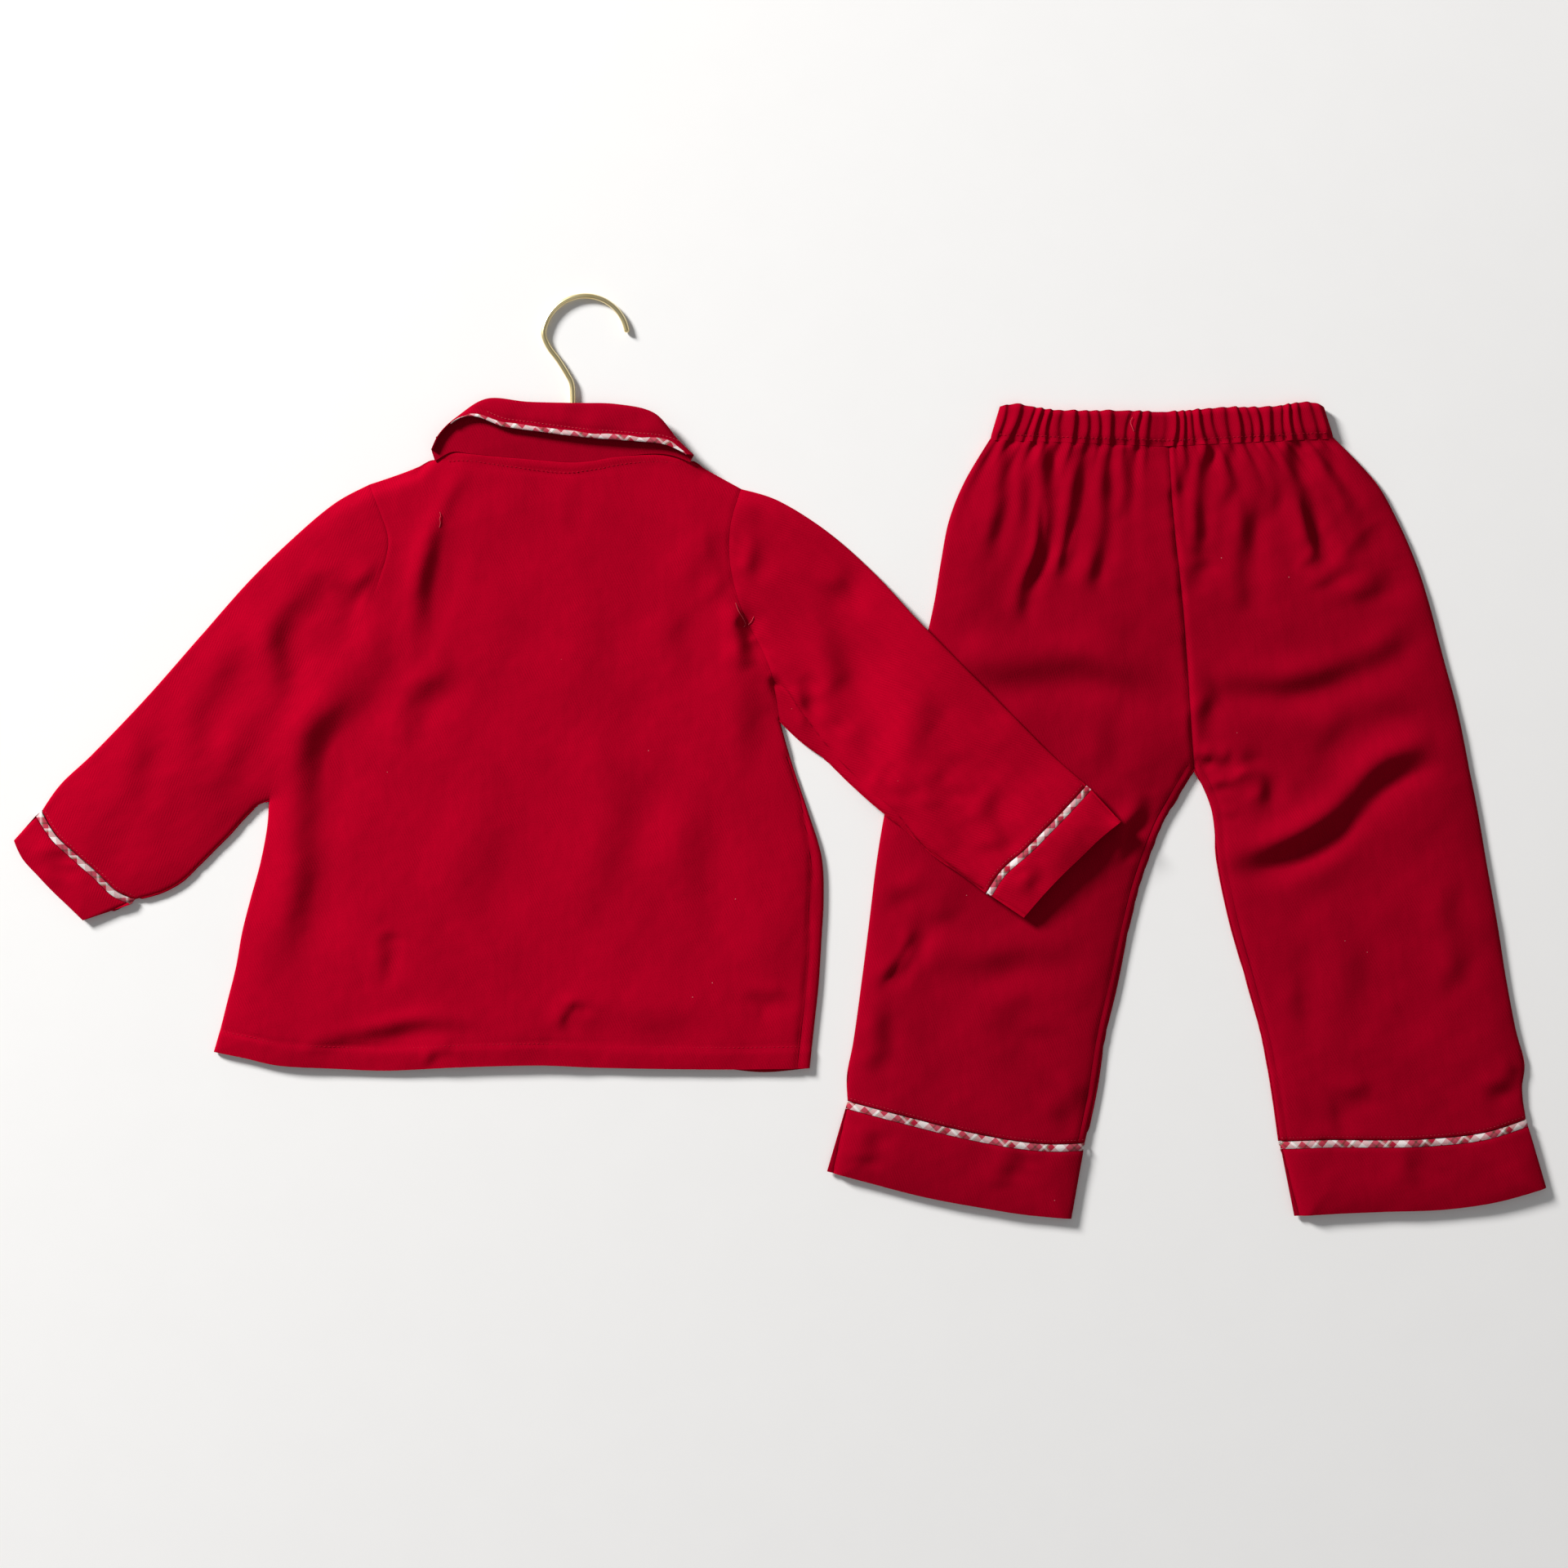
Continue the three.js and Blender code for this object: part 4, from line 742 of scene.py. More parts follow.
def cloth(name, places, weave, seam, material, shell, up, ring=False):
    """A sheet of cloth through a grid of places, with its weave's coordinates and its distance to a seam.
    up is a slice of columns that face upwards, or None for a sheet that faces down. A ring's last column
    joins its first."""
    rows, columns = places.shape[:2]
    index = np.arange(rows * columns).reshape(rows, columns)
    if ring:
        index = np.concatenate([index, index[:, :1]], 1)
    quads = np.stack([index[:-1, :-1], index[:-1, 1:], index[1:, 1:], index[1:, :-1]], -1)
    shown = slice(None) if up is None else up
    corner, beside, below = places[:-1, :-1], places[:-1, 1:], places[1:, :-1]
    facing = np.cross((beside - corner)[:, shown], (below - corner)[:, shown])[..., 2].sum()
    quads = quads.reshape(-1, 4)
    if (facing < 0) != (up is None):
        quads = quads[:, ::-1]
    mesh = bpy.data.meshes.new(name)
    mesh.from_pydata((places.reshape(-1, 3) * MM).tolist(), [], quads.tolist())
    layer = mesh.uv_layers.new(name="weave")
    corners = np.empty(len(mesh.loops), np.int64)
    mesh.loops.foreach_get("vertex_index", corners)
    layer.data.foreach_set("uv", (weave.reshape(-1, 2)[corners] * MM).astype(np.float32).ravel())
    # the distance to a seam, which sets the twill's painted seam shade
    near = mesh.attributes.new("seam", "FLOAT", "POINT")
    near.data.foreach_set("value", seam.astype(np.float32).ravel())
    mesh.polygons.foreach_set("use_smooth", np.ones(len(mesh.polygons), bool))
    mesh.materials.append(material)
    mesh.update()
    piece = bpy.data.objects.new(name, mesh)
    bpy.context.scene.collection.objects.link(piece)
    wall = piece.modifiers.new("wall", "SOLIDIFY")
    wall.thickness = shell * MM
    wall.offset = -1
    bpy.context.view_layer.update()
    walled = bpy.data.meshes.new_from_object(piece.evaluated_get(bpy.context.evaluated_depsgraph_get()))
    walled.set_sharp_from_angle(angle=math.radians(50))
    piece.modifiers.clear()
    piece.data = walled
    walled.name = name
    return piece


def lift(points, z):
    return np.concatenate([points, z[..., None]], -1)


def flat_area(plan, count=60):
    """The area of a plan, in square metres."""
    u, v = np.meshgrid(np.linspace(0, 1, count), np.linspace(0, 1, count))
    p = plan(u, v)
    across, down = p[:-1, 1:] - p[:-1, :-1], p[1:, :-1] - p[:-1, :-1]
    return float(np.abs(across[..., 0] * down[..., 1] - across[..., 1] * down[..., 0]).sum()) * MM**2


def two_leaves(name, plan, columns, rows, heights, material, angle, shell, seams, extra=None):
    """A tube of cloth laid flat: one sheet that is folded along u = 0, its two cut edges at u = 1."""
    across = np.concatenate([columns[::-1], columns[1:]])
    u, v = np.meshgrid(across, rows)
    points = plan(u, v)
    upper = np.arange(len(across)) < len(columns)
    high, low = heights(points)
    dents, nearest = seam_dents(points, seams)
    top = high + dents
    if extra is not None:
        top = top + extra(u, v, points)
    z = np.where(upper, np.maximum(top, low + 1.0), low)
    z[:, len(columns) - 1] = low[:, len(columns) - 1]
    near = np.where(upper, nearest, 40)
    return cloth(name, lift(points, z), grain(points, angle), near, material, shell,
                 slice(0, len(columns) - 1))


def top_heights(base, mid=MID):
    """Heights of the top's upper and lower leaf over what they lie on."""

    def at(points):
        depth = depth_in(TOP_OUTLINE, points)
        under = base(points)
        curve = mid * roundness(depth)
        return under + mid + curve + top_rise(points, depth), under + mid - curve

    return at


def trouser_heights(mid=MID):
    def at(points):
        depth = depth_in(TROUSER_OUTLINE, points)
        curve = mid * roundness(depth)
        return mid + curve + trouser_rise(points, depth), mid - curve

    return at


# Materials
def nodes_of(tree):
    """Short ways to add a node with its settings and inputs, and to link an output to an input."""

    def add(kind, inputs=None, **settings):
        node = tree.nodes.new(kind)
        for key, value in settings.items():
            setattr(node, key, value)
        for key, value in (inputs or {}).items():
            if isinstance(value, bpy.types.NodeSocket):
                tree.links.new(value, node.inputs[key])
            else:
                node.inputs[key].default_value = value
        return node

    return add


def math_node(add, operation, first, second=0.0, third=0.0):
    return add("ShaderNodeMath", {0: first, 1: second, 2: third}, operation=operation).outputs[0]


def mix_colour(add, share, first, second, blend="MIX"):
    """Mixes two colours; the sockets are those of a colour mix."""
    node = add("ShaderNodeMix", data_type="RGBA", blend_type=blend, clamp_factor=True)
    tree = node.id_data
    for socket, value in ((node.inputs[0], share), (node.inputs[6], first), (node.inputs[7], second)):
        if isinstance(value, bpy.types.NodeSocket):
            tree.links.new(value, socket)
        else:
            socket.default_value = value
    return node.outputs[2]


def mix_value(add, share, first, second):
    """A value between two others, by a share from 0 to 1."""
    node = add("ShaderNodeMix", data_type="FLOAT")
    for socket, value in zip(node.inputs[0:1] + node.inputs[2:4], (share, first, second)):
        if isinstance(value, bpy.types.NodeSocket):
            node.id_data.links.new(value, socket)
        else:
            socket.default_value = value
    return node.outputs[0]


def twill_group():
    """Brushed twill: steep fine ribs under a short nap, worn paler on the ribs, with painted shade along
    seams.
    """
    group = bpy.data.node_groups.new("brushed_twill", "ShaderNodeTree")
    face = group.interface
    face.new_socket("Weave", in_out="INPUT", socket_type="NodeSocketVector")
    face.new_socket("Place", in_out="INPUT", socket_type="NodeSocketVector")
    face.new_socket("Seam", in_out="INPUT", socket_type="NodeSocketFloat")
    face.new_socket("Lit", in_out="INPUT", socket_type="NodeSocketColor")
    face.new_socket("Deep", in_out="INPUT", socket_type="NodeSocketColor")
    face.new_socket("Rib", in_out="INPUT", socket_type="NodeSocketFloat")
    face.new_socket("Colour", in_out="OUTPUT", socket_type="NodeSocketColor")
    face.new_socket("Height", in_out="OUTPUT", socket_type="NodeSocketFloat")
    add = nodes_of(group)
    given = add("NodeGroupInput")
    weave, place, seam = given.outputs["Weave"], given.outputs["Place"], given.outputs["Seam"]
    lean = (0, 0, math.radians(TWILL_ANGLE))
    turned_weave = add("ShaderNodeMapping", {"Vector": weave, "Rotation": lean})
    ribs = add(
        "ShaderNodeTexWave",
        {"Vector": turned_weave.outputs[0], "Scale": RIBS_SCALE, "Distortion": 1.1, "Detail": 2.0,
         "Detail Scale": 0.6},
    ).outputs["Fac"]
    worn = add("ShaderNodeTexNoise", {"Vector": weave, "Scale": 70.0, "Detail": 3.0}).outputs["Fac"]
    worn = add("ShaderNodeMapRange", {"Value": worn, "From Min": 0.35, "From Max": 0.65}).outputs["Result"]
    ribs = mix_value(add, worn, 0.5, ribs)
    fuzz = add("ShaderNodeTexNoise", {"Vector": weave, "Scale": 900.0, "Detail": 3.0}).outputs["Fac"]
    brushed = add("ShaderNodeMapping", {"Vector": weave, "Scale": (1.0, 0.3, 1.0)})
    streaks = add(
        "ShaderNodeTexNoise", {"Vector": brushed.outputs[0], "Scale": 240.0, "Detail": 4.0}
    ).outputs["Fac"]
    clouds = add("ShaderNodeTexNoise", {"Vector": place, "Scale": 22.0, "Detail": 4.0}).outputs["Fac"]
    tone = math_node(add, "MULTIPLY", ribs, given.outputs["Rib"])
    for part, share in ((fuzz, 0.5), (streaks, 0.45), (clouds, 0.5)):
        tone = math_node(add, "MULTIPLY_ADD", part, share, tone)
    tone = add(
        "ShaderNodeMapRange", {"Value": tone, "From Min": 0.45, "From Max": 1.45}
    ).outputs["Result"]
    colour = mix_colour(add, tone, given.outputs["Deep"], given.outputs["Lit"])
    cells = add("ShaderNodeTexVoronoi", {"Vector": weave, "Scale": 75.0})
    speck = math_node(add, "LESS_THAN", cells.outputs["Distance"], 0.021)
    rare = math_node(
        add, "GREATER_THAN", add("ShaderNodeSeparateColor", {0: cells.outputs["Color"]}).outputs[0], 0.86
    )
    lint = math_node(add, "MULTIPLY", math_node(add, "MULTIPLY", speck, rare), 0.5)
    colour = mix_colour(add, lint, colour, LINT)
    # Painted shade along seams: the colour darkens close to a seam.
    squared = math_node(add, "MULTIPLY", seam, seam)
    line = math_node(add, "EXPONENT", math_node(add, "MULTIPLY", squared, -6.0))
    shaded = mix_colour(add, math_node(add, "MULTIPLY", line, 0.45), colour, SEAM_PAINTED_SHADE)
    height = math_node(add, "MULTIPLY_ADD", ribs, 0.32, math_node(add, "MULTIPLY", fuzz, 0.7))
    height = math_node(add, "MULTIPLY_ADD", line, -1.5, height)
    add("NodeGroupOutput", {"Colour": shaded, "Height": height})
    return group


def check_group():
    """A woven check cut on the bias: two sets of coloured stripes that cross at right angles."""
    group = bpy.data.node_groups.new("bias_check", "ShaderNodeTree")
    group.interface.new_socket("Weave", in_out="INPUT", socket_type="NodeSocketVector")
    group.interface.new_socket("Colour", in_out="OUTPUT", socket_type="NodeSocketColor")
    group.interface.new_socket("Height", in_out="OUTPUT", socket_type="NodeSocketFloat")
    add = nodes_of(group)
    weave = add("NodeGroupInput").outputs["Weave"]
    bias = add("ShaderNodeMapping", {"Vector": weave, "Rotation": (0, 0, math.radians(CHECK_ANGLE))})
    axes = add("ShaderNodeSeparateXYZ", {0: bias.outputs[0]})
    stripes = []
    for axis, shift in ((0, 0.0), (1, 0.37)):
        run = math_node(add, "MULTIPLY_ADD", axes.outputs[axis], 1 / (CHECK_REPEAT * MM), shift)
        share = math_node(add, "FRACT", run)
        ramp = add("ShaderNodeValToRGB", {0: share})
        ramp.color_ramp.interpolation = "CONSTANT"
        points = ramp.color_ramp.elements
        while len(points) < len(CHECK_STRIPES):
            points.new(0.5)
        for point, (start, colour) in zip(points, CHECK_STRIPES):
            point.position = start
            point.color = colour
        stripes.append(ramp.outputs[0])
    colour = mix_colour(add, 0.42, stripes[0], stripes[1])
    threads = add("ShaderNodeTexNoise", {"Vector": weave, "Scale": 1400.0, "Detail": 2.0}).outputs["Fac"]
    worn = mix_colour(add, math_node(add, "MULTIPLY", threads, 0.25), colour, CHECK_SHADE)
    add("NodeGroupOutput", {"Colour": worn, "Height": threads})
    return group


TWILL = twill_group()
CHECK = check_group()


def cloth_material(name, group, values, roughness, sheen, tint, relief):
    material = bpy.data.materials.new(name)
    material.use_nodes = True
    tree = material.node_tree
    tree.nodes.clear()
    add = nodes_of(tree)
    pattern = add("ShaderNodeGroup", node_tree=group)
    tree.links.new(add("ShaderNodeUVMap", uv_map="weave").outputs[0], pattern.inputs["Weave"])
    if "Place" in pattern.inputs:
        tree.links.new(add("ShaderNodeTexCoord").outputs["Object"], pattern.inputs["Place"])
        seam = add("ShaderNodeAttribute", attribute_name="seam")
        tree.links.new(seam.outputs["Fac"], pattern.inputs["Seam"])
    for key, value in values.items():
        pattern.inputs[key].default_value = value
    bump = add(
        "ShaderNodeBump", {"Height": pattern.outputs["Height"], "Strength": 0.6, "Distance": relief * MM}
    )
    shader = add(
        "ShaderNodeBsdfPrincipled",
        {"Base Color": pattern.outputs["Colour"], "Roughness": roughness, "Sheen Weight": sheen,
         "Sheen Roughness": 0.45, "Sheen Tint": tint, "Specular IOR Level": 0.015,
         "Normal": bump.outputs[0]},
    )
    add("ShaderNodeOutputMaterial", {"Surface": shader.outputs[0]})
    return material


RED = cloth_material(
    "red_brushed_twill", TWILL, {"Lit": (0.49, 0.0, 0.018, 1), "Deep": (0.29, 0.0, 0.011, 1), "Rib": 0.42},
    0.95, 0.03, (1.0, 0.0, 0.03, 1), 0.25,
)
# A darker copy of the red twill, as painted shade: on the collar and its leaves, the trousers, their cuffs
# and the waistband.
PAINTED_SHADE_RED = cloth_material(
    "red_brushed_twill_painted_shade", TWILL,
    {"Lit": (0.38, 0.0, 0.015, 1), "Deep": (0.23, 0.0, 0.009, 1), "Rib": 0.42},
    0.95, 0.03, (1.0, 0.0, 0.03, 1), 0.25,
)
PIPING = cloth_material("bias_check_piping", CHECK, {}, 0.85, 0.05, (1, 0.9, 0.9, 1), 0.12)


def plain_material(name, colours, scale, settings, relief=0.05):
    """A finish with a fine mottle between two colours."""
    material = bpy.data.materials.new(name)
    material.use_nodes = True
    tree = material.node_tree
    tree.nodes.clear()
    add = nodes_of(tree)
    place = add("ShaderNodeTexCoord").outputs["Object"]
    mottle = add("ShaderNodeTexNoise", {"Vector": place, "Scale": scale, "Detail": 3.0}).outputs["Fac"]
    colour = mix_colour(add, mottle, *colours)
    bump = add("ShaderNodeBump", {"Height": mottle, "Strength": 0.3, "Distance": relief * MM})
    shader = add(
        "ShaderNodeBsdfPrincipled", {"Base Color": colour, "Normal": bump.outputs[0], **settings}
    )
    add("ShaderNodeOutputMaterial", {"Surface": shader.outputs[0]})
    return material


THREAD = plain_material(
    "red_thread", ((0.36, 0.002, 0.015, 1), (0.52, 0.012, 0.035, 1)), 900,
    {"Roughness": 0.8, "Specular IOR Level": 0.05},
)
PINK_THREAD = plain_material(
    "pink_thread", ((0.46, 0.03, 0.05, 1), (0.58, 0.09, 0.11, 1)), 900,
    {"Roughness": 0.8, "Specular IOR Level": 0.05},
)
GOLD = plain_material(
    "gold_plated_wire", ((0.92, 0.74, 0.34, 1), (1.0, 0.88, 0.55, 1)), 120,
    {"Metallic": 1.0, "Roughness": 0.33}, 0.02,
)
FLOOR = plain_material(
    "pale_floor", ((0.91, 0.91, 0.91, 1), (0.93, 0.93, 0.93, 1)), 30, {"Roughness": 0.8}
)


def declare_sheet(angle, plans):
    """Works out the spans and area that a piece was cut to, from its plans, both leaves of a tube too, lying
    side by side; it keeps and returns neither.
    """
    u, v = np.meshgrid(np.linspace(0, 1, 40), np.linspace(0, 1, 40))
    spans = [np.ptp(grain(plan(u, v), angle), axis=(0, 1)) * MM for plan in plans]
    area = sum(flat_area(plan) for plan in plans)


def part_of(plan, first, last):
    """A plan's stretch between two shares of its width."""
    return lambda u, v: plan(first + (last - first) * u, v)


def back_and_fronts():
    columns, rows = graded(190, 350), graded(170, 370)
    u, v = np.meshgrid(columns, rows)
    points = BACK_PLAN(u, v)
    high, _ = top_heights(on_floor)(points)
    dents, nearest = seam_dents(points, TOP_SEAMS)
    rows_dent, _ = seam_dents(points, TOP_STITCH_DENTS)
    to_hem, _, _ = to_lines(points, sampled(HEM))
    hem_turn = 0.5 * (1 - smooth(HEM_DEPTH - 1.2, HEM_DEPTH + 0.6, to_hem))
    to_neck, along, side = to_lines(points, sampled(spline(NECK_SEAM)))
    strip = smooth(0, 0.1, along) * smooth(0, 0.1, 1 - along) * (side < 0)
    strip = strip * smooth(0.4, 1.4, to_neck)
    binding = 0.55 * strip * (1 - smooth(BINDING - 0.8, BINDING + 0.8, to_neck))
    top = high + dents + rows_dent + hem_turn + binding
    back = cloth(
        "top_back_cloth", lift(points, top), grain(points, BACK_GRAIN), nearest, RED, SHELL, slice(None)
    )
    declare_sheet(BACK_GRAIN, [BACK_PLAN])
    fronts = []
    for side, first, last in (("left", 0, 8 / 15), ("right", 7 / 15, 1)):
        columns = first + (last - first) * graded(56, 190)
        u, v = np.meshgrid(columns, graded(100, 370))
        points = FRONT_PLAN(u, v)
        depth = depth_in(TOP_OUTLINE, points)
        under = MID * (1 - roundness(depth)) + leaf_lift(points)
        if side == "right":
            under += (CLOTH + SEAM_GAP) * (1 - smooth(8 / 15, 9 / 15, u))
        fronts.append(cloth(
            f"top_front_{side}_cloth", lift(points, under), grain(points, BACK_GRAIN),
            np.full(under.shape, 40.0), RED, SHELL, None,
        ))
        declare_sheet(BACK_GRAIN, [part_of(FRONT_PLAN, first, last)])
    return back, fronts


def sleeve(side, plan, piping, start, end, base, angle):
    columns, rows = graded(60, 110), graded(105, 260)
    body = two_leaves(
        f"sleeve_{side}_cloth", plan, columns, rows, top_heights(base), RED, angle, SHELL, TOP_SEAMS
    )
    first, last = gap_to(piping, start), start
    trim = two_leaves(
        f"sleeve_piping_{side}_cloth", strip_plan(first, last), columns, np.linspace(0, 1, 7),
        top_heights(base, CUFF_MID), PIPING, angle, SHELL, [],
        lambda u, v, p: 0.4 * np.sin(math.pi * v) - 0.35,
    )
    cuff_plan = strip_plan(gap_to(start, end), end)
    cuff = two_leaves(
        f"sleeve_cuff_{side}_cloth", cuff_plan, columns, graded(14, 26), top_heights(base, CUFF_MID), RED,
        angle, CUFF_SHELL, [(sampled(start), 0.45, 1.4, 1)],
    )
    declare_sheet(angle, [plan, plan])
    declare_sheet(angle, [cuff_plan, cuff_plan])
    return body, trim, cuff


def collar():
    roll = sampled(COLLAR_ROLL, 60)

    def under(points):
        depth = depth_in(TOP_OUTLINE, points)
        return CLOTH + SEAM_GAP + np.maximum(top_rise(points, depth), wire_lift(points))

    columns = graded(16, 20, (0, 0.3, 0.8, 1.6))
    across = np.concatenate([columns[::-1], columns[1:]])
    u, v = np.meshgrid(across, np.linspace(0, 1, 150))
    fall = np.arange(len(across)) < len(columns)
    t, share = COLLAR_ROLL(v), u[..., None]
    points = t * (1 - share) + np.where(fall[:, None], fall_edge(v), NECKLINE(v)) * share
    from_roll, _, _ = to_lines(points, roll)
    curve = MID * roundness(from_roll)
    low = under(points)
    puff = 0.6 * np.sin(math.pi * u) + 0.25 * ripples(points, 24, 5)
    upper = low + MID + curve + COLLAR_LIFT * u + puff * roundness(from_roll)
    z = np.where(fall, upper, low + MID - curve)
    stitch, _, _ = to_lines(points, sampled(shifted(fall_edge, COLLAR_STITCH)))
    z -= np.where(fall, 0.4 * np.exp(-((stitch / 1.4) ** 2)), 0)
    body = cloth(
        "collar_cloth", lift(points, z), grain(points, COLLAR_GRAIN), np.full(z.shape, 40.0), PAINTED_SHADE_RED,
        SHELL, slice(0, len(columns) - 1),
    )

    def fall_top(points, share):
        return under(points) + 2 * MID + COLLAR_LIFT * share

    w, v = np.meshgrid(np.linspace(0, 1, 9), np.linspace(PIPING_START, 1, 150))
    free, roll_at = fall_edge(v), COLLAR_ROLL(v)
    way = roll_at - free
    length = np.linalg.norm(way, axis=-1)
    ends = smooth(PIPING_START, 0.27, v) * smooth(0.0, 0.05, 1 - v)
    width = np.minimum(COLLAR_PIPING * (0.06 + 0.94 * ends), 0.7 * length)
    points = free + way / length[..., None] * (width * w - 0.6)[..., None]
    z = fall_top(points, 1 - w * width / np.maximum(length, 0.1)) + 0.1
    z = z + 0.6 * ends * np.sin(math.pi * w) ** 0.6
    along = np.concatenate([[0], np.cumsum(np.linalg.norm(np.diff(free[:, 0], axis=0), axis=-1))])
    weave = np.stack([np.broadcast_to(along[:, None], w.shape), w * COLLAR_PIPING], -1)
    trim = cloth(
        "collar_piping_cloth", lift(points, z), weave, np.full(z.shape, 40.0), PIPING, 0.6, slice(None)
    )
    plans = [strip_plan(COLLAR_ROLL, fall_edge), strip_plan(COLLAR_ROLL, NECKLINE)]
    declare_sheet(COLLAR_GRAIN + 90, plans)
    leaves = []
    for side, neck, rim in (
        ("left", [(-209.6, 179.6), (-200.0, 167.4), (-178.0, 155.0), (-140.0, 146.6)],
         [(-216.0, 173.6), (-216.6, 147.0), (-196.0, 122.0), (-160.0, 108.0)]),
        ("right", [(-56.0, 179.0), (-66.0, 166.0), (-86.0, 154.4), (-124.0, 146.4)],
         [(-52.0, 172.0), (-50.0, 145.0), (-70.0, 121.0), (-106.0, 108.0)]),
    ):
        u, v = np.meshgrid(np.linspace(0, 1, 40), np.linspace(0, 1, 24))
        plan = strip_plan(spline(neck), spline(rim))
        points = plan(u, v)
        rim_round = np.minimum(v, 1 - v) * 30
        z = 0.45 * (1 - roundness(rim_round)) + 0.02
        leaves.append(cloth(f"collar_leaf_{side}_cloth", lift(points, z), grain(points, COLLAR_GRAIN),
                            np.full(z.shape, 40.0), PAINTED_SHADE_RED, SHELL, None))
        declare_sheet(COLLAR_GRAIN, [plan])
    return body, trim, leaves


def leg(side, plan, piping, end, angle):
    length = np.linalg.norm(piping(0.5) - end(0.5))

    def line_at(distance):
        return lambda t: piping(t) + (end(t) - piping(t)) * distance / length

    def gathers(u, v, points):
        origin = plan(u, 0.0)
        below = np.maximum(0, origin[..., 1] - points[..., 1])
        narrow = WAIST_RIDGE * np.exp(-below / 10) * (gather_shape(origin[..., 0]) - 0.5)
        broad = 2.0 * np.exp(-below / GATHER_REACH) * smooth(0, 12, below)
        broad = broad * (pair_shape(origin[..., 0]) - 0.5)
        return narrow + broad

    columns = graded(95, 190)
    body = two_leaves(f"trouser_leg_{side}_cloth", plan, columns, graded(190, 420), trouser_heights(),
                      PAINTED_SHADE_RED, angle, SHELL, TROUSER_SEAMS, gathers)
    trim = two_leaves(
        f"leg_piping_{side}_cloth", strip_plan(line_at(SEAM_GAP), line_at(LEG_PIPING)), columns,
        np.linspace(0, 1, 8), trouser_heights(CUFF_MID), PIPING, angle, SHELL, [],
        lambda u, v, p: 0.45 * np.sin(math.pi * v) - 0.35,
    )
    cuff_plan = strip_plan(line_at(LEG_PIPING + SEAM_GAP), end)
    cuff = two_leaves(
        f"leg_cuff_{side}_cloth", cuff_plan, columns, graded(22, 42), trouser_heights(CUFF_MID), PAINTED_SHADE_RED,
        angle, CUFF_SHELL, [(sampled(line_at(LEG_PIPING)), 0.45, 1.5, 1)],
    )
    declare_sheet(angle, [plan, plan])
    declare_sheet(angle, [cuff_plan, cuff_plan])
    return body, trim, cuff


def gather_shape(x):
    """The waistband's gathers: each rises slowly from the left and drops steeply, uneven in height."""
    phase = np.interp(x, WAIST_GATHERS, np.arange(len(WAIST_GATHERS))) + 0.5
    share = phase - np.floor(phase)
    uneven = 0.72 + 0.28 * np.sin(np.floor(phase) * 2.3)
    calm = 1 - 0.85 * np.exp(-(((x - 229.0) / 5.0) ** 2))
    return uneven * calm * smooth(0, 0.66, share) * smooth(0, 0.3, 1 - share)


def pair_shape(x):
    """Below the band the gathers run together in twos, which go further down the legs."""
    phase = np.interp(x, WAIST_GATHERS, np.arange(len(WAIST_GATHERS)))
    calm = 1 - 0.9 * np.exp(-(((x - 229.0) / 9.0) ** 2))
    return calm * (0.5 + 0.5 * np.cos(math.pi * phase + 0.9 * np.sin(phase)))


def band_y(x, v):
    """The height up the page of the waistband's place at a share v from its seam to its top."""
    middle = CENTRE_SEAM(0.0)
    left, right = LEFT_LEG_EDGE(0.0), RIGHT_LEG_EDGE(0.0)
    low = np.interp(x, [left[0], middle[0], right[0]], [left[1], middle[1], right[1]]) + 0.05
    x0 = WAIST_LEFT[0] + (WAIST_LEFT[1] - WAIST_LEFT[0]) * v
    x1 = WAIST_RIGHT[0] + (WAIST_RIGHT[1] - WAIST_RIGHT[0]) * v
    high = WAIST_TOP((x - x0) / (x1 - x0))[..., 1]
    return low + (high - low) * v


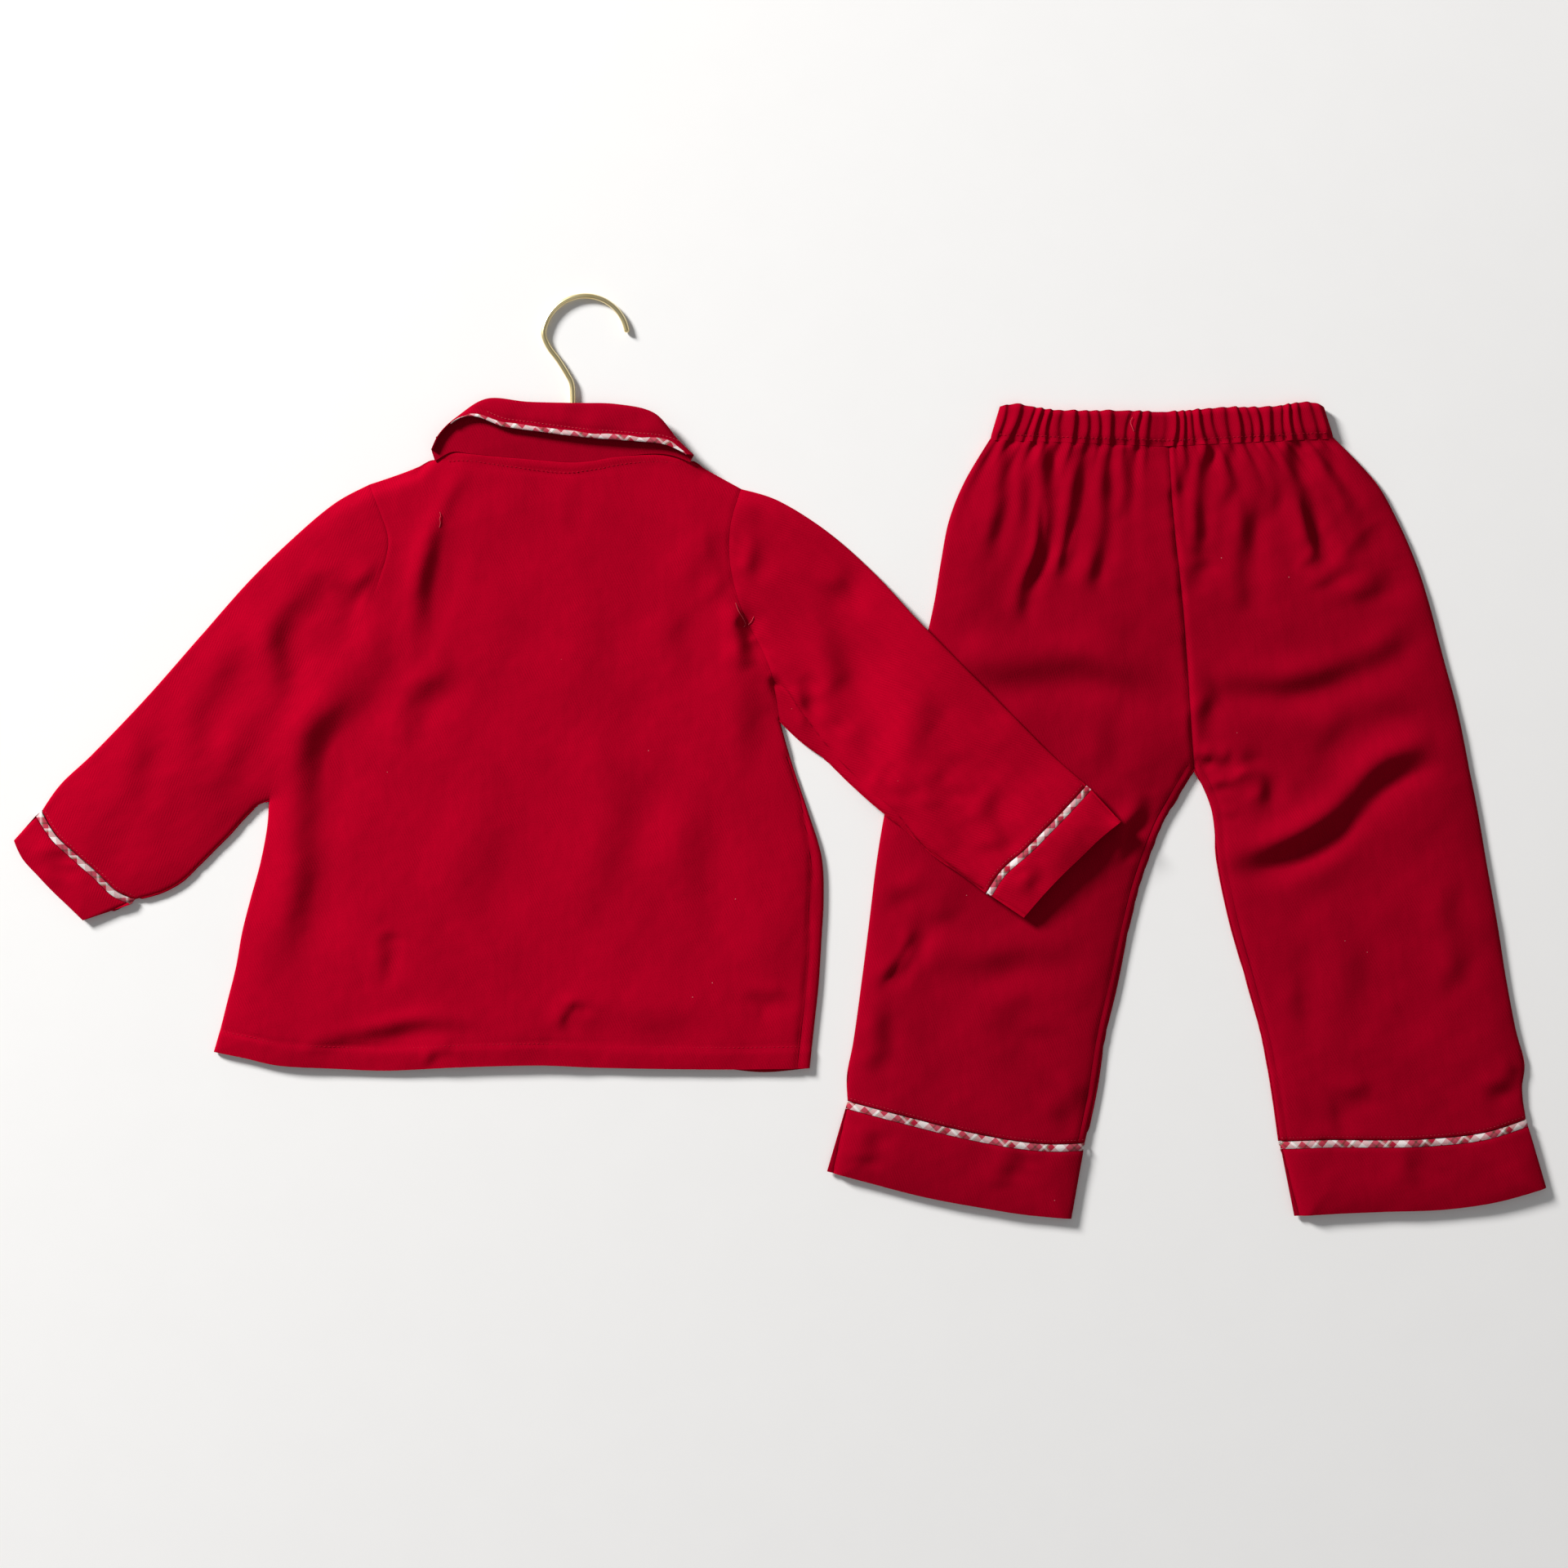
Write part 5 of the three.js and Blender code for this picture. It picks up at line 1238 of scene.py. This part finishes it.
def waistband():
    share = np.concatenate([np.linspace(0, 1, 380), np.linspace(1, 0, 42)[1:-1]])
    upper = np.arange(len(share)) < 380
    rows = [0, 0.02, 0.05, 0.09, 0.14, 0.22, 0.32, 0.42, 0.52, 0.62, 0.72, 0.8, 0.88, 0.94, 0.98, 1]
    s, v = np.meshgrid(share, rows)
    x0 = WAIST_LEFT[0] + (WAIST_LEFT[1] - WAIST_LEFT[0]) * v
    x1 = WAIST_RIGHT[0] + (WAIST_RIGHT[1] - WAIST_RIGHT[0]) * v
    x = x0 + (x1 - x0) * s
    at_seam = WAIST_LEFT[0] + (WAIST_RIGHT[0] - WAIST_LEFT[0]) * s
    lean = (2.4 * np.sin(at_seam / 13) + 1.2 * np.sin(at_seam / 5)) * v
    lean = lean + 1.4 * np.sin(math.pi * v) * np.sin(at_seam / 8)
    ridge = np.where(upper, gather_shape(at_seam + lean), 0)
    side = np.minimum(x - x0, x1 - x)
    waves = np.where(upper, 0.6 * (ridge - 0.5) * smooth(0.8, 1, v) * smooth(0, 8, side), 0)
    y = band_y(x, v) - BAND_LAP * (1 - smooth(0, 0.16, v)) + waves
    mid = BAND_CLOTH + SEAM_GAP / 2
    curve = mid * np.sqrt(1 - (1 - np.clip(side / 4.0, 0, 1)) ** 2)
    points = np.stack([x, y], -1)
    held = WAIST_LOFT * (1 - np.exp(-side / LOFT_REACH)) + mid + curve
    high, _ = trouser_heights()(points)
    joins = smooth(0, 0.16, v)
    pleats = WAIST_RIDGE * (ridge - 0.5 * (1 - joins)) * (1 - np.exp(-side / 3))
    over = 1.4 * np.exp(-(((1 - v) / 0.07) ** 2)) * smooth(0, 10, side)
    stitched = 0.35 * np.exp(-(((v - BAND_STITCH) / 0.05) ** 2))
    top = (high + 0.25) * (1 - joins) + held * joins + pleats - over - stitched
    z = np.where(upper, np.maximum(top, mid - curve + smooth(0, 4, side)), mid - curve)
    # the distance to the band's centre seam, which sets painted shade along it
    seam = np.where(upper, np.minimum(np.abs(x - CENTRE_SEAM(0.0)[0] + 0.5) + 0.6, 40), 40)
    weave = np.stack([WAIST_FULLNESS * x, y], -1)
    band = cloth(
        "waistband_cloth", lift(points, z), weave, seam, PAINTED_SHADE_RED, BAND_SHELL, slice(0, 379), ring=True
    )

    def band_plan(u, v):
        start = WAIST_LEFT[0] + (WAIST_LEFT[1] - WAIST_LEFT[0]) * v
        end = WAIST_RIGHT[0] + (WAIST_RIGHT[1] - WAIST_RIGHT[0]) * v
        x = start + (end - start) * u
        return np.stack([WAIST_FULLNESS * x, band_y(x, v)], -1)

    declare_sheet(0, [band_plan, band_plan])
    return band


def wire(name, rows, steps, radius=WIRE_RADIUS, material=GOLD, sides=16):
    """A round wire or thread through rows of x y z, with rounded ends."""
    line = evenly(spline(rows))(np.linspace(0, 1, steps))
    way = np.gradient(line, axis=0)
    way /= np.linalg.norm(way, axis=1, keepdims=True)
    across = np.cross(way, [0, 0, 1.0])
    across /= np.linalg.norm(across, axis=1, keepdims=True)
    rise = np.cross(across, way)
    angle = np.linspace(0, 2 * math.pi, sides, endpoint=False)
    ring = across[:, None] * np.cos(angle)[None, :, None] + rise[:, None] * np.sin(angle)[None, :, None]
    rings = []
    for share in (0.15, 0.5, 0.8):
        size = radius * math.sqrt(1 - (1 - share) ** 2)
        rings.append((line[0] - way[0] * radius * (1 - share) * 0.8, ring[0] * size))
    for k in range(steps):
        rings.append((line[k], ring[k] * radius))
    for share in (0.8, 0.5, 0.15):
        size = radius * math.sqrt(1 - (1 - share) ** 2)
        rings.append((line[-1] + way[-1] * radius * (1 - share) * 0.8, ring[-1] * size))
    places = np.array([centre + offset for centre, offset in rings])
    count = len(places)
    index = np.arange(count * sides).reshape(count, sides)
    index = np.concatenate([index, index[:, :1]], 1)
    quads = np.stack([index[:-1, :-1], index[1:, :-1], index[1:, 1:], index[:-1, 1:]], -1).reshape(-1, 4)
    faces = quads.tolist() + [list(range(sides)), list(range((count - 1) * sides, count * sides))[::-1]]
    mesh = bpy.data.meshes.new(name)
    mesh.from_pydata((places.reshape(-1, 3) * MM).tolist(), [], faces)
    mesh.polygons.foreach_set("use_smooth", np.ones(len(mesh.polygons), bool))
    mesh.materials.append(material)
    mesh.update()
    if signed_volume(mesh) < 0:
        mesh.flip_normals()
    piece = bpy.data.objects.new(name, mesh)
    bpy.context.scene.collection.objects.link(piece)
    return piece


def signed_volume(mesh):
    total = 0.0
    for polygon in mesh.polygons:
        corners = [mesh.vertices[k].co for k in polygon.vertices]
        for b, c in zip(corners[1:], corners[2:]):
            total += corners[0].dot(b.cross(c))
    return total


def hook_round():
    steps = 14
    degrees = [10 + 162 * k / steps for k in range(steps + 1)]
    return [(-119.2 + 25.7 * math.cos(math.radians(a)), 255.7 + 25.7 * math.sin(math.radians(a)), 1.7)
            for a in degrees]


# Stitches
def stitch_tree():
    """Short stitches set along a line, each a slim spindle half sunk in the cloth."""
    tree = bpy.data.node_groups.new("stitches", "GeometryNodeTree")
    face = tree.interface
    face.new_socket("Geometry", in_out="INPUT", socket_type="NodeSocketGeometry")
    for name in ("Pitch", "Length", "Thickness"):
        face.new_socket(name, in_out="INPUT", socket_type="NodeSocketFloat")
    face.new_socket("Thread", in_out="INPUT", socket_type="NodeSocketMaterial")
    face.new_socket("Geometry", in_out="OUTPUT", socket_type="NodeSocketGeometry")
    add = nodes_of(tree)
    given = add("NodeGroupInput").outputs
    line = add("GeometryNodeMeshToCurve", {0: given["Geometry"]})
    points = add(
        "GeometryNodeCurveToPoints", {"Curve": line.outputs[0], "Length": given["Pitch"]}, mode="LENGTH"
    )
    ball = add("GeometryNodeMeshUVSphere", {"Segments": 6, "Rings": 4, "Radius": 0.5})
    size = add("ShaderNodeCombineXYZ", {0: given["Thickness"], 1: given["Thickness"], 2: given["Length"]})
    sway = add(
        "FunctionNodeRandomValue", {"Min": (-0.12, -0.12, -0.12), "Max": (0.12, 0.12, 0.12), "Seed": 7},
        data_type="FLOAT_VECTOR",
    )
    turn = add("FunctionNodeRotateRotation", {0: points.outputs["Rotation"], 1: sway.outputs[0]},
               rotation_space="LOCAL")
    spread = add("GeometryNodeInstanceOnPoints", {
        "Points": points.outputs["Points"], "Instance": ball.outputs[0], "Rotation": turn.outputs[0],
        "Scale": size.outputs[0],
    })
    whole = add("GeometryNodeRealizeInstances", {0: spread.outputs[0]})
    smooth_faces = add("GeometryNodeSetShadeSmooth", {0: whole.outputs[0]})
    coated = add(
        "GeometryNodeSetMaterial", {"Geometry": smooth_faces.outputs[0], "Material": given["Thread"]}
    )
    add("NodeGroupOutput", {0: coated.outputs[0]})
    return tree


STITCHES = stitch_tree()


def stitch_rows(name, rows, pitch, length, thickness, thread):
    """One piece with all the stitches of a kind. Each row is a line in plan and the height of its cloth."""
    places, links = [], []
    for path, height in rows:
        points = sampled(path, 160)
        z = height(points)
        first = len(places)
        places += (lift(points, z) * MM).tolist()
        links += [(first + k, first + k + 1) for k in range(len(points) - 1)]
    mesh = bpy.data.meshes.new(name + "_lines")
    mesh.from_pydata(places, links, [])
    holder = bpy.data.objects.new(name + "_lines", mesh)
    bpy.context.scene.collection.objects.link(holder)
    modifier = holder.modifiers.new("stitches", "NODES")
    modifier.node_group = STITCHES
    values = {"Pitch": pitch * MM, "Length": length * MM, "Thickness": thickness * MM, "Thread": thread}
    for socket in STITCHES.interface.items_tree:
        if socket.in_out == "INPUT" and socket.name in values:
            modifier[socket.identifier] = values[socket.name]
    holder.update_tag()
    bpy.context.view_layer.update()
    made = holder.evaluated_get(bpy.context.evaluated_depsgraph_get())
    result = bpy.data.meshes.new_from_object(made)
    result.name = name
    piece = bpy.data.objects.new(name, result)
    bpy.context.scene.collection.objects.link(piece)
    bpy.data.objects.remove(holder)
    return piece


def surface(heights, seams, sink=0.1):
    def at(points):
        high, _ = heights(points)
        dents, _ = seam_dents(points, seams)
        return high + dents - sink

    return at


def band_top(points, share=0.9):
    """The waistband's height, without the lean of its pleats."""
    side = np.minimum(points[..., 0] - WAIST_LEFT[0], WAIST_RIGHT[0] - points[..., 0])
    held = WAIST_LOFT * (1 - np.exp(-side / LOFT_REACH)) + 2 * BAND_CLOTH + SEAM_GAP
    high, _ = trouser_heights()(points)
    joins = smooth(0, 0.16, share)
    ridge = gather_shape(points[..., 0]) - 0.5 * (1 - joins)
    return high * (1 - joins) + held * joins + WAIST_RIDGE * ridge * (1 - np.exp(-side / 3))


def partly(path, first, last):
    return lambda t: path(first + (last - first) * np.asarray(t, float))


def all_stitches():
    on_top = surface(top_heights(on_floor), TOP_SEAMS)
    on_right_sleeve = surface(top_heights(on_leg), TOP_SEAMS)
    on_trousers = surface(trouser_heights(), TROUSER_SEAMS)

    def collar_height(points):
        depth = depth_in(TOP_OUTLINE, points)
        low = CLOTH + SEAM_GAP + np.maximum(top_rise(points, depth), wire_lift(points))
        return low + 2 * MID + COLLAR_LIFT * 0.75 + 0.42

    def band_line(v):
        def at(t):
            x = WAIST_LEFT[0] + 6 + (WAIST_RIGHT[0] - WAIST_LEFT[0] - 12) * np.asarray(t, float)
            return np.stack([x, band_y(x, np.full(np.shape(t), v))], -1)

        return at

    pink = [
        (partly(shifted(LEFT_PIPING, PIPING_STITCH), 0.04, 0.97), on_top),
        (partly(shifted(RIGHT_PIPING, -PIPING_STITCH), 0.04, 0.97), on_right_sleeve),
        (partly(shifted(LEFT_LEG_PIPING, PIPING_STITCH), 0.02, 0.98), on_trousers),
        (partly(shifted(RIGHT_LEG_PIPING, PIPING_STITCH), 0.02, 0.98), on_trousers),
        (partly(shifted(fall_edge, COLLAR_STITCH), 0.3, 0.9), collar_height),
    ]
    red = [
        (partly(shifted(HEM, HEM_DEPTH), 0.012, 0.985), on_top),
        (partly(spline(BINDING_SEAM), 0.03, 0.97), lambda points: on_top(points) + 0.28),
        (band_line(BAND_STITCH), lambda points: band_top(points, BAND_STITCH) + 0.1),
    ]
    return [
        stitch_rows("topstitching_pink", pink, 2.3, 1.3, 0.27, PINK_THREAD),
        stitch_rows("stitching_red", red, 2.7, 1.6, 0.32, THREAD),
    ]


def thread_ends():
    """Loose ends of thread that lie on the cloth."""
    ends = []
    top = surface(top_heights(on_floor), TOP_SEAMS)
    for rows, height in ((TOP_THREADS, top), (BAND_THREADS, band_top)):
        for row in rows:
            places = [(x, y, float(height(np.array([[x, y]], float))[0]) + z) for x, y, z in row]
            ends.append(wire(f"thread_end_{len(ends) + 1}", places, 24, THREAD_END, PINK_THREAD, 6))
    return ends


def stage():
    mesh = bpy.data.meshes.new("floor")
    side, down = 3.0, -0.0004
    corners = [(-side, -side, down), (side, -side, down), (side, side, down), (-side, side, down)]
    mesh.from_pydata(corners, [], [(0, 1, 2, 3)])
    mesh.materials.append(FLOOR)
    floor = bpy.data.objects.new("floor", mesh)
    bpy.context.scene.collection.objects.link(floor)


def lamp(name, place, aim, size, power, colour=(1, 1, 1)):
    data = bpy.data.lights.new(name, "AREA")
    data.shape = "DISK"
    data.size = size
    data.energy = power
    data.color = colour
    light = bpy.data.objects.new(name, data)
    light.location = place
    light.rotation_euler = (Vector(aim) - Vector(place)).to_track_quat("-Z", "Y").to_euler()
    bpy.context.scene.collection.objects.link(light)


def lights():
    centre = (0, 0, 0)
    lamp("key", (-3.5, 2.95, 2.1), centre, 1.25, 445, (1, 0.985, 0.965))
    lamp("fill", (0.6, -0.8, 2.2), centre, 1.8, 4)
    world = bpy.data.worlds.new("studio")
    world.use_nodes = True
    world.node_tree.nodes["Background"].inputs[0].default_value = (1, 1, 1, 1)
    world.node_tree.nodes["Background"].inputs[1].default_value = 0.18
    bpy.context.scene.world = world
    bpy.context.scene.view_settings.view_transform = "Standard"


def camera():
    """Straight above the middle of the photo's frame, which is 960 mm wide at the floor."""
    data = bpy.data.cameras.new("camera")
    data.lens, data.sensor_width = 75, 36
    distance = 0.96 * data.lens / data.sensor_width
    eye = bpy.data.objects.new("camera", data)
    eye.location = (0.0023, -0.01715, distance)
    bpy.context.scene.collection.objects.link(eye)
    bpy.context.scene.camera = eye


back, fronts = back_and_fronts()
left_sleeve = sleeve("left", LEFT_SLEEVE_PLAN, LEFT_PIPING, LEFT_CUFF_START, LEFT_CUFF_END, on_floor,
                     LEFT_SLEEVE_GRAIN)
right_sleeve = sleeve("right", RIGHT_SLEEVE_PLAN, RIGHT_PIPING, RIGHT_CUFF_START, RIGHT_CUFF_END, on_leg,
                      RIGHT_SLEEVE_GRAIN)
collar_cloth, collar_trim, collar_leaves = collar()
left_leg = leg("left", LEFT_LEG_PLAN, LEFT_LEG_PIPING, LEFT_LEG_CUFF_END, LEFT_LEG_GRAIN)
right_leg = leg("right", RIGHT_LEG_PLAN, reverse(RIGHT_LEG_PIPING), reverse(RIGHT_LEG_CUFF_END),
                RIGHT_LEG_GRAIN)
band = waistband()
hook = wire("hook_wire", [*hook_round(), *HOOK_BEND, *STEM], 260)
arms = wire("arm_wire", ARM_WIRE, 140)
stitches = [*all_stitches(), *thread_ends()]
stage()
lights()
camera()

for piece, node, slot in (
    (back, "top_back", "red_twill"), (fronts[0], "top_front_left", "red_twill"),
    (fronts[1], "top_front_right", "red_twill"), (left_sleeve[0], "sleeve_left", "red_twill"),
    (left_sleeve[1], "sleeve_piping_left", "check_piping"), (left_sleeve[2], "sleeve_cuff_left", "red_twill"),
    (right_sleeve[0], "sleeve_right", "red_twill"), (right_sleeve[1], "sleeve_piping_right", "check_piping"),
    (right_sleeve[2], "sleeve_cuff_right", "red_twill"), (collar_cloth, "collar", "red_twill"),
    (collar_trim, "collar_piping", "check_piping"), (collar_leaves[0], "collar_leaf_left", "red_twill"),
    (collar_leaves[1], "collar_leaf_right", "red_twill"), (left_leg[0], "trouser_leg_left", "red_twill"),
    (left_leg[1], "leg_piping_left", "check_piping"), (left_leg[2], "leg_cuff_left", "red_twill"),
    (right_leg[0], "trouser_leg_right", "red_twill"), (right_leg[1], "leg_piping_right", "check_piping"),
    (right_leg[2], "leg_cuff_right", "red_twill"), (band, "waistband", "red_twill"),
    (hook, "hanger_hook", "gold_wire"), (arms, "hanger_arms", "gold_wire"),
):
    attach(piece, "root")
    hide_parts(node)
for piece in stitches:
    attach(piece, "root")
